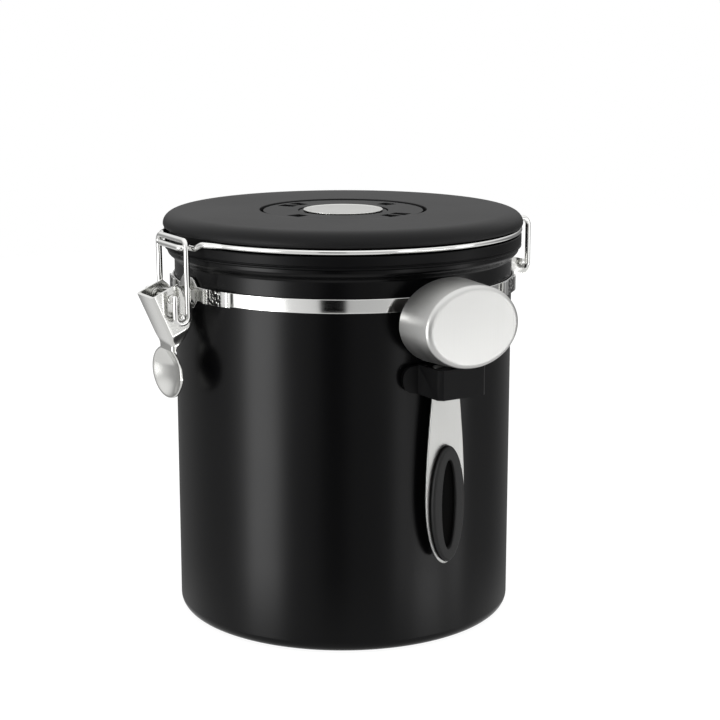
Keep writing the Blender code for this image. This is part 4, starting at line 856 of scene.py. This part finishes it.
# Felt: pressed polyester fibre, off-white, matted in tufts about 0.6 mm across.
felt, tree, shader, place = new_finish("felt_pressed_white", "#cfcfca", 0.9)
fibres = add(tree, "ShaderNodeTexNoise", {"Vector": place, "Scale": 1600.0, "Detail": 6.0, "Distortion": 1.5})
bring_out(shader, fibres, tones=("#b5b5b0", "#e2e2de"), relief=(0.6, 0.0001))
low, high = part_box("valve_filter")
felt_profile = fillet([
    (0.0, high.z, 0.0), (high.x, high.z, 0.00015), (high.x, low.z, 0.00015), (0.0, low.z, 0.0),
], steps=4)
filter_disc = finish("filter_felt_disc", felt, revolve(felt_profile, steps=64))
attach(filter_disc, "lid")
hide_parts("valve_filter")


# Scoop holder: a moulded ABS clip, its wings bent to the can and stuck to it with
# a foam pad, and a square loop in front that the scoop's handle drops into.
holder = softened("scoop_holder", "holder_moulded", black_plastic, 0.00035)
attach(holder, "canister")
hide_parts("scoop_holder")

# Foam tape: black closed-cell polyethylene, cells about 0.3 mm across at its cut edge.
foam, tree, shader, place = new_finish("foam_closed_cell_black", "#171717", 0.9)
cells = add(tree, "ShaderNodeTexVoronoi", {"Vector": place, "Scale": 3300.0})
bring_out(shader, cells, tones=("#0e0e0e", "#202020"), relief=(0.5, 0.0001))
pad = softened("holder_pad", "pad_foam_cut", foam, 0.0002)
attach(pad, "canister")
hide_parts("holder_pad")


# Scoop cup: drawn from 0.8 mm stainless and polished on a belt while it spins,
# which leaves rings round its side and straight strokes over its base, 0.3 mm wide
# here so that they show.
brushed_steel, tree, shader, place = new_finish("stainless_belt_brushed", "#c9c9c7", 0.36, 1.0)
side_rings = streaks(place, (40.0, 3500.0, 40.0), 4.0)
base_strokes = streaks(place, (3000.0, 40.0, 40.0), 4.0, rotation=(0.0, 0.5, 0.0))
facing = {0: place.node.outputs["Normal"], 1: (0.035, -0.999, 0.0)}
outward = add(tree, "ShaderNodeVectorMath", facing, operation="DOT_PRODUCT").outputs["Value"]
on_base = add(tree, "ShaderNodeMapRange", {"Value": outward, "From Min": 0.8, "From Max": 0.97})
both = add(tree, "ShaderNodeMix", {"Factor": on_base, 2: side_rings, 3: base_strokes})
bring_out(shader, both, gloss=(0.27, 0.5), relief=(0.5, 0.00004))

scoop_azimuth = np.radians(2.0)
handle_reach = 0.067
handle_sheet = 0.001
cup_height = 0.11892
cup_radius = 0.0149
cup_base_radius = 0.0141
cup_widening = 1.33
cup_depth = 0.0163
cup_sheet = 0.0008


def placed_outward(mesh, reach, height):
    """x runs along the can, y up and z out of it, from a place at the scoop's azimuth."""
    right, ahead = np.cos(scoop_azimuth), np.sin(scoop_azimuth)
    return moved(mesh, lambda along, up, out: (
        along * right + (reach + out) * ahead, along * ahead - (reach + out) * right, height + up,
    ))


cup_profile = fillet([
    (0.0, cup_depth, 0.0), (cup_base_radius, cup_depth, 0.0019), (cup_radius, 0.0, 0.0003),
    (cup_radius - cup_sheet, 0.0, 0.0003), (cup_base_radius - cup_sheet, cup_depth - cup_sheet, 0.0013),
    (0.0, cup_depth - cup_sheet, 0.0),
], steps=12)
cup_mesh = revolve(cup_profile, steps=160)
cup_mesh.transform(Matrix.Diagonal((cup_widening, 1.0, 1.0, 1.0)))
cup = finish("cup_drawn", brushed_steel, placed_outward(cup_mesh, handle_reach + handle_sheet, cup_height))
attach(cup, "scoop")
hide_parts("scoop_cup")


# Handle: a 1 mm stainless strip, narrow at the holder and oval at its end. Its
# top is folded outwards and spot-welded under the cup.
def strip_along(line, half_width, half_thickness, edge):
    """A rounded box, w(s) wide, stands square to a line (height, out) in the plane of the can's axis."""
    side, across, level, out = rounded_section()
    edge = np.minimum(edge, half_width)[:, None]
    x = side * (half_width[:, None] - edge) + edge * across
    thick = level * (half_thickness - edge.max()) + edge.max() * out + 0 * x
    ahead = np.gradient(line, axis=0)
    ahead /= np.linalg.norm(ahead, axis=1)[:, None]
    height = line[:, :1] - ahead[:, 1:] * thick
    reach = line[:, 1:] + ahead[:, :1] * thick
    return surface(np.stack((x, height, reach), axis=-1), wrap_v=True, capped=True)


# Its steel is the cup's brushed steel, copied with a darker colour as painted shade, so that it mirrors less
# light than the cup.
handle_steel_painted_darker = brushed_steel.copy()
handle_steel_painted_darker.name = "stainless_brushed_painted_darker"
handle_steel_painted_darker.node_tree.nodes["Principled BSDF"].inputs["Base Color"].default_value = srgb("#aeaeac")

handle_tip = 0.032
tip_length = 0.024
widest = 0.008
waist = 0.0057
neck = 0.0054
fold_height = 0.1035
fold_round = 0.001
bow = np.linspace(0.0, np.pi / 2, 48)
tip_height = handle_tip + tip_length * (1 - np.cos(bow))
straight = np.linspace(0.0570, 0.1020, 60)
swell = np.clip((0.0920 - straight) / 0.036, 0.0, 1.0)
bend_turn = np.linspace(0.0, np.pi / 2, 12)
bend_line = fold_round * np.column_stack((np.sin(bend_turn), 1 - np.cos(bend_turn)))
line = np.vstack((
    np.column_stack((tip_height, 0 * tip_height)), np.column_stack((straight, 0 * straight)),
    bend_line + (fold_height - fold_round, 0.0), [(fold_height, 0.0022), (fold_height, 0.0035)],
))
swollen = waist + (widest - waist) * np.sin(np.pi / 2 * swell)
width = np.concatenate((widest * np.sin(bow), swollen, np.full(14, neck)))
width[-15:-12] = (0.0057, 0.0056, 0.0055)
strip = strip_along(line, np.maximum(width, 0.00002), handle_sheet / 2, 0.00028)
handle = finish("handle_strip", handle_steel_painted_darker, placed_outward(strip, handle_reach + handle_sheet / 2, 0.0))
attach(handle, "scoop")
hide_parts("scoop_handle")


# Grip: an oval of black silicone moulded on the handle, with a soft outer edge
# and a long slot sunk in its face. The slot is painted darker and given less specular than the face, as
# painted shade in the recess.
grip_rubber, tree, shader, place = new_finish("silicone_black_slot_painted_shade", "#0d0d0d", 0.5)
facing = {0: place, 1: (0.0349, -0.9994, 0.0)}
out = add(tree, "ShaderNodeVectorMath", facing, operation="DOT_PRODUCT").outputs["Value"]
face = add(tree, "ShaderNodeMapRange", {"Value": out, "From Min": 0.0692, "From Max": 0.0701})
slot_painted_shade_specular = add(tree, "ShaderNodeMapRange", {"Value": face, "To Min": 0.03, "To Max": 0.35})
# Painted shade: the slot's colour is darker than the face's.
bring_out(shader, face, tones=("#040404", "#101010"))
tree.links.new(slot_painted_shade_specular.outputs["Result"], shader.inputs["Specular IOR Level"])

grip_half_width = 0.007
grip_middle = 0.054
grip_seat = 0.0683
grip_top = 0.0022
slot_floor = 0.0006
grip_profile = fillet([
    (0.0, 0.0, 0.0), (grip_half_width, 0.0, 0.0004), (grip_half_width, grip_top, 0.0014),
    (0.0030, grip_top, 0.0004), (0.0026, slot_floor, 0.0002), (0.0, slot_floor, 0.0),
], steps=8)
angle = np.linspace(0.0, 2 * np.pi, 144, endpoint=False)
radius, out = grip_profile.T[:, :, None]
length = np.interp(radius, (0.0, 0.0027, grip_half_width), (0.0, 0.0158, 0.021))
grid = np.stack((radius * np.cos(angle), length * np.sin(angle), out + 0 * angle), axis=-1)
grip_mesh = placed_outward(surface(grid, wrap_v=True), grip_seat, grip_middle)
grip = finish("grip_moulded", grip_rubber, grip_mesh)
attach(grip, "scoop")
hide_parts("scoop_grip")


# Floor: a pale matt sweep. It is lifted to white for the camera, and keeps a
# faint shadow of the can.
def as_seen(tree, bounced, seen):
    """One shader for the camera's rays and those that come through glass, another for all others."""
    rays = add(tree, "ShaderNodeLightPath").outputs
    direct = {0: rays["Is Camera Ray"], 1: rays["Is Transmission Ray"]}
    share = add(tree, "ShaderNodeMath", direct, operation="MAXIMUM")
    return add(tree, "ShaderNodeMixShader", {0: share, 1: bounced, 2: seen})


floor_radius = 0.9
paper = bpy.data.materials.new("paper_sweep_matt_white")
paper.use_nodes = True
tree = paper.node_tree
tree.nodes.clear()
bounce = add(tree, "ShaderNodeBsdfDiffuse", {"Color": srgb("#dcdcdc")})
matt = add(tree, "ShaderNodeBsdfDiffuse", {"Color": srgb("#7a7a7a")})
glow = add(tree, "ShaderNodeEmission", {"Color": srgb("#ffffff"), "Strength": 0.92})
lifted = add(tree, "ShaderNodeAddShader", {0: matt, 1: glow})
add(tree, "ShaderNodeOutputMaterial", {"Surface": as_seen(tree, bounce, lifted)})
sides = (-floor_radius, floor_radius)
floor_grid = np.stack(np.meshgrid(sides, sides, (0.0,), indexing="ij"), axis=-1)[:, :, 0]
floor = finish("floor", paper, surface(floor_grid))
floor.visible_glossy = False


# Studio: white to the eye. What the steel and the enamel mirror is a dark room
# with tall soft boxes, set by the angle round the can from the camera's side.
studio = bpy.data.worlds.new("studio")
scene.world = studio
studio.use_nodes = True
tree = studio.node_tree
tree.nodes.clear()
direction = add(tree, "ShaderNodeTexCoord").outputs["Generated"]
aims = []
for aim in ((-0.4915, -0.8709, 0.0), (0.8709, -0.4915, 0.0)):
    cosine = add(tree, "ShaderNodeVectorMath", {0: direction, 1: aim}, operation="DOT_PRODUCT")
    aims.append(cosine.outputs["Value"])
angle_round = add(tree, "ShaderNodeMath", {0: aims[1], 1: aims[0]}, operation="ARCTAN2")
share_round = add(tree, "ShaderNodeMapRange", {"Value": angle_round, "From Min": -np.pi, "From Max": np.pi})
boxes = [
    (-180, 0.20), (-150, 0.22), (-130, 0.36), (-105, 0.45), (-84, 0.7), (-71, 1.8), (-65, 7.2), (-47, 7.2),
    (-41, 1.4), (-36, 0.8), (-16, 0.62), (-14, 0.0), (1, 0.0), (3, 0.47), (28, 0.52), (33, 0.6), (37, 2.4),
    (42, 2.4), (48, 0.85), (74, 0.85), (78, 2.8), (86, 2.8), (91, 0.6), (120, 0.25), (180, 0.20),
]
mirror_strength = 3.0
room = add(tree, "ShaderNodeValToRGB", {"Fac": share_round})
ramp = room.color_ramp
while len(ramp.elements) < len(boxes):
    ramp.elements.new(0.5)
for element, (degrees, value) in zip(ramp.elements, boxes):
    element.position = (degrees + 180) / 360
    shade = value / mirror_strength
    element.color = (shade, shade, shade, 1.0)
height = add(tree, "ShaderNodeSeparateXYZ", {0: direction}).outputs["Z"]
above = {"Value": height, "From Min": 0.1, "From Max": 0.9, "To Min": 0.27, "To Max": 0.44}
overhead = add(tree, "ShaderNodeMapRange", above)

# Overhead the room is evenly lit. A low soft box stands to the right, under the
# level of the scoop's cup, and lower still the pale sweep itself shows.
steps = []
for value, start, end in (
    (height, 0.02, 0.35), (angle_round, 0.76, 0.96), (angle_round, 1.36, 1.12), (height, -0.285, -0.345),
    (height, -0.33, -0.43),
):
    limits = {"Value": value, "From Min": start, "From Max": end}
    steps.append(add(tree, "ShaderNodeMapRange", limits, interpolation_type="SMOOTHSTEP"))
lift, rise, fall, depth, below = steps
across_box = add(tree, "ShaderNodeMath", {0: rise, 1: fall}, operation="MULTIPLY")
low_box = add(tree, "ShaderNodeMath", {0: across_box, 1: depth}, operation="MULTIPLY")
mirrored = room.outputs["Color"]
for share, shown in ((lift, overhead), (low_box, (2.6, 2.6, 2.6, 1.0)), (below, (0.27, 0.27, 0.27, 1.0))):
    layer = add(tree, "ShaderNodeMix", {"Factor": share, 6: mirrored, 7: shown}, data_type="RGBA")
    mirrored = layer.outputs[2]
mirror_light = add(tree, "ShaderNodeBackground", {"Color": mirrored, "Strength": mirror_strength})
soft_light = add(tree, "ShaderNodeBackground", {"Color": srgb("#ffffff"), "Strength": 0.9})
white = add(tree, "ShaderNodeBackground", {"Color": srgb("#ffffff"), "Strength": 1.0})
glossy = add(tree, "ShaderNodeLightPath").outputs["Is Glossy Ray"]
lit = add(tree, "ShaderNodeMixShader", {0: glossy, 1: soft_light, 2: mirror_light})
add(tree, "ShaderNodeOutputWorld", {"Surface": as_seen(tree, lit, white)})
scene.view_settings.view_transform = "Standard"
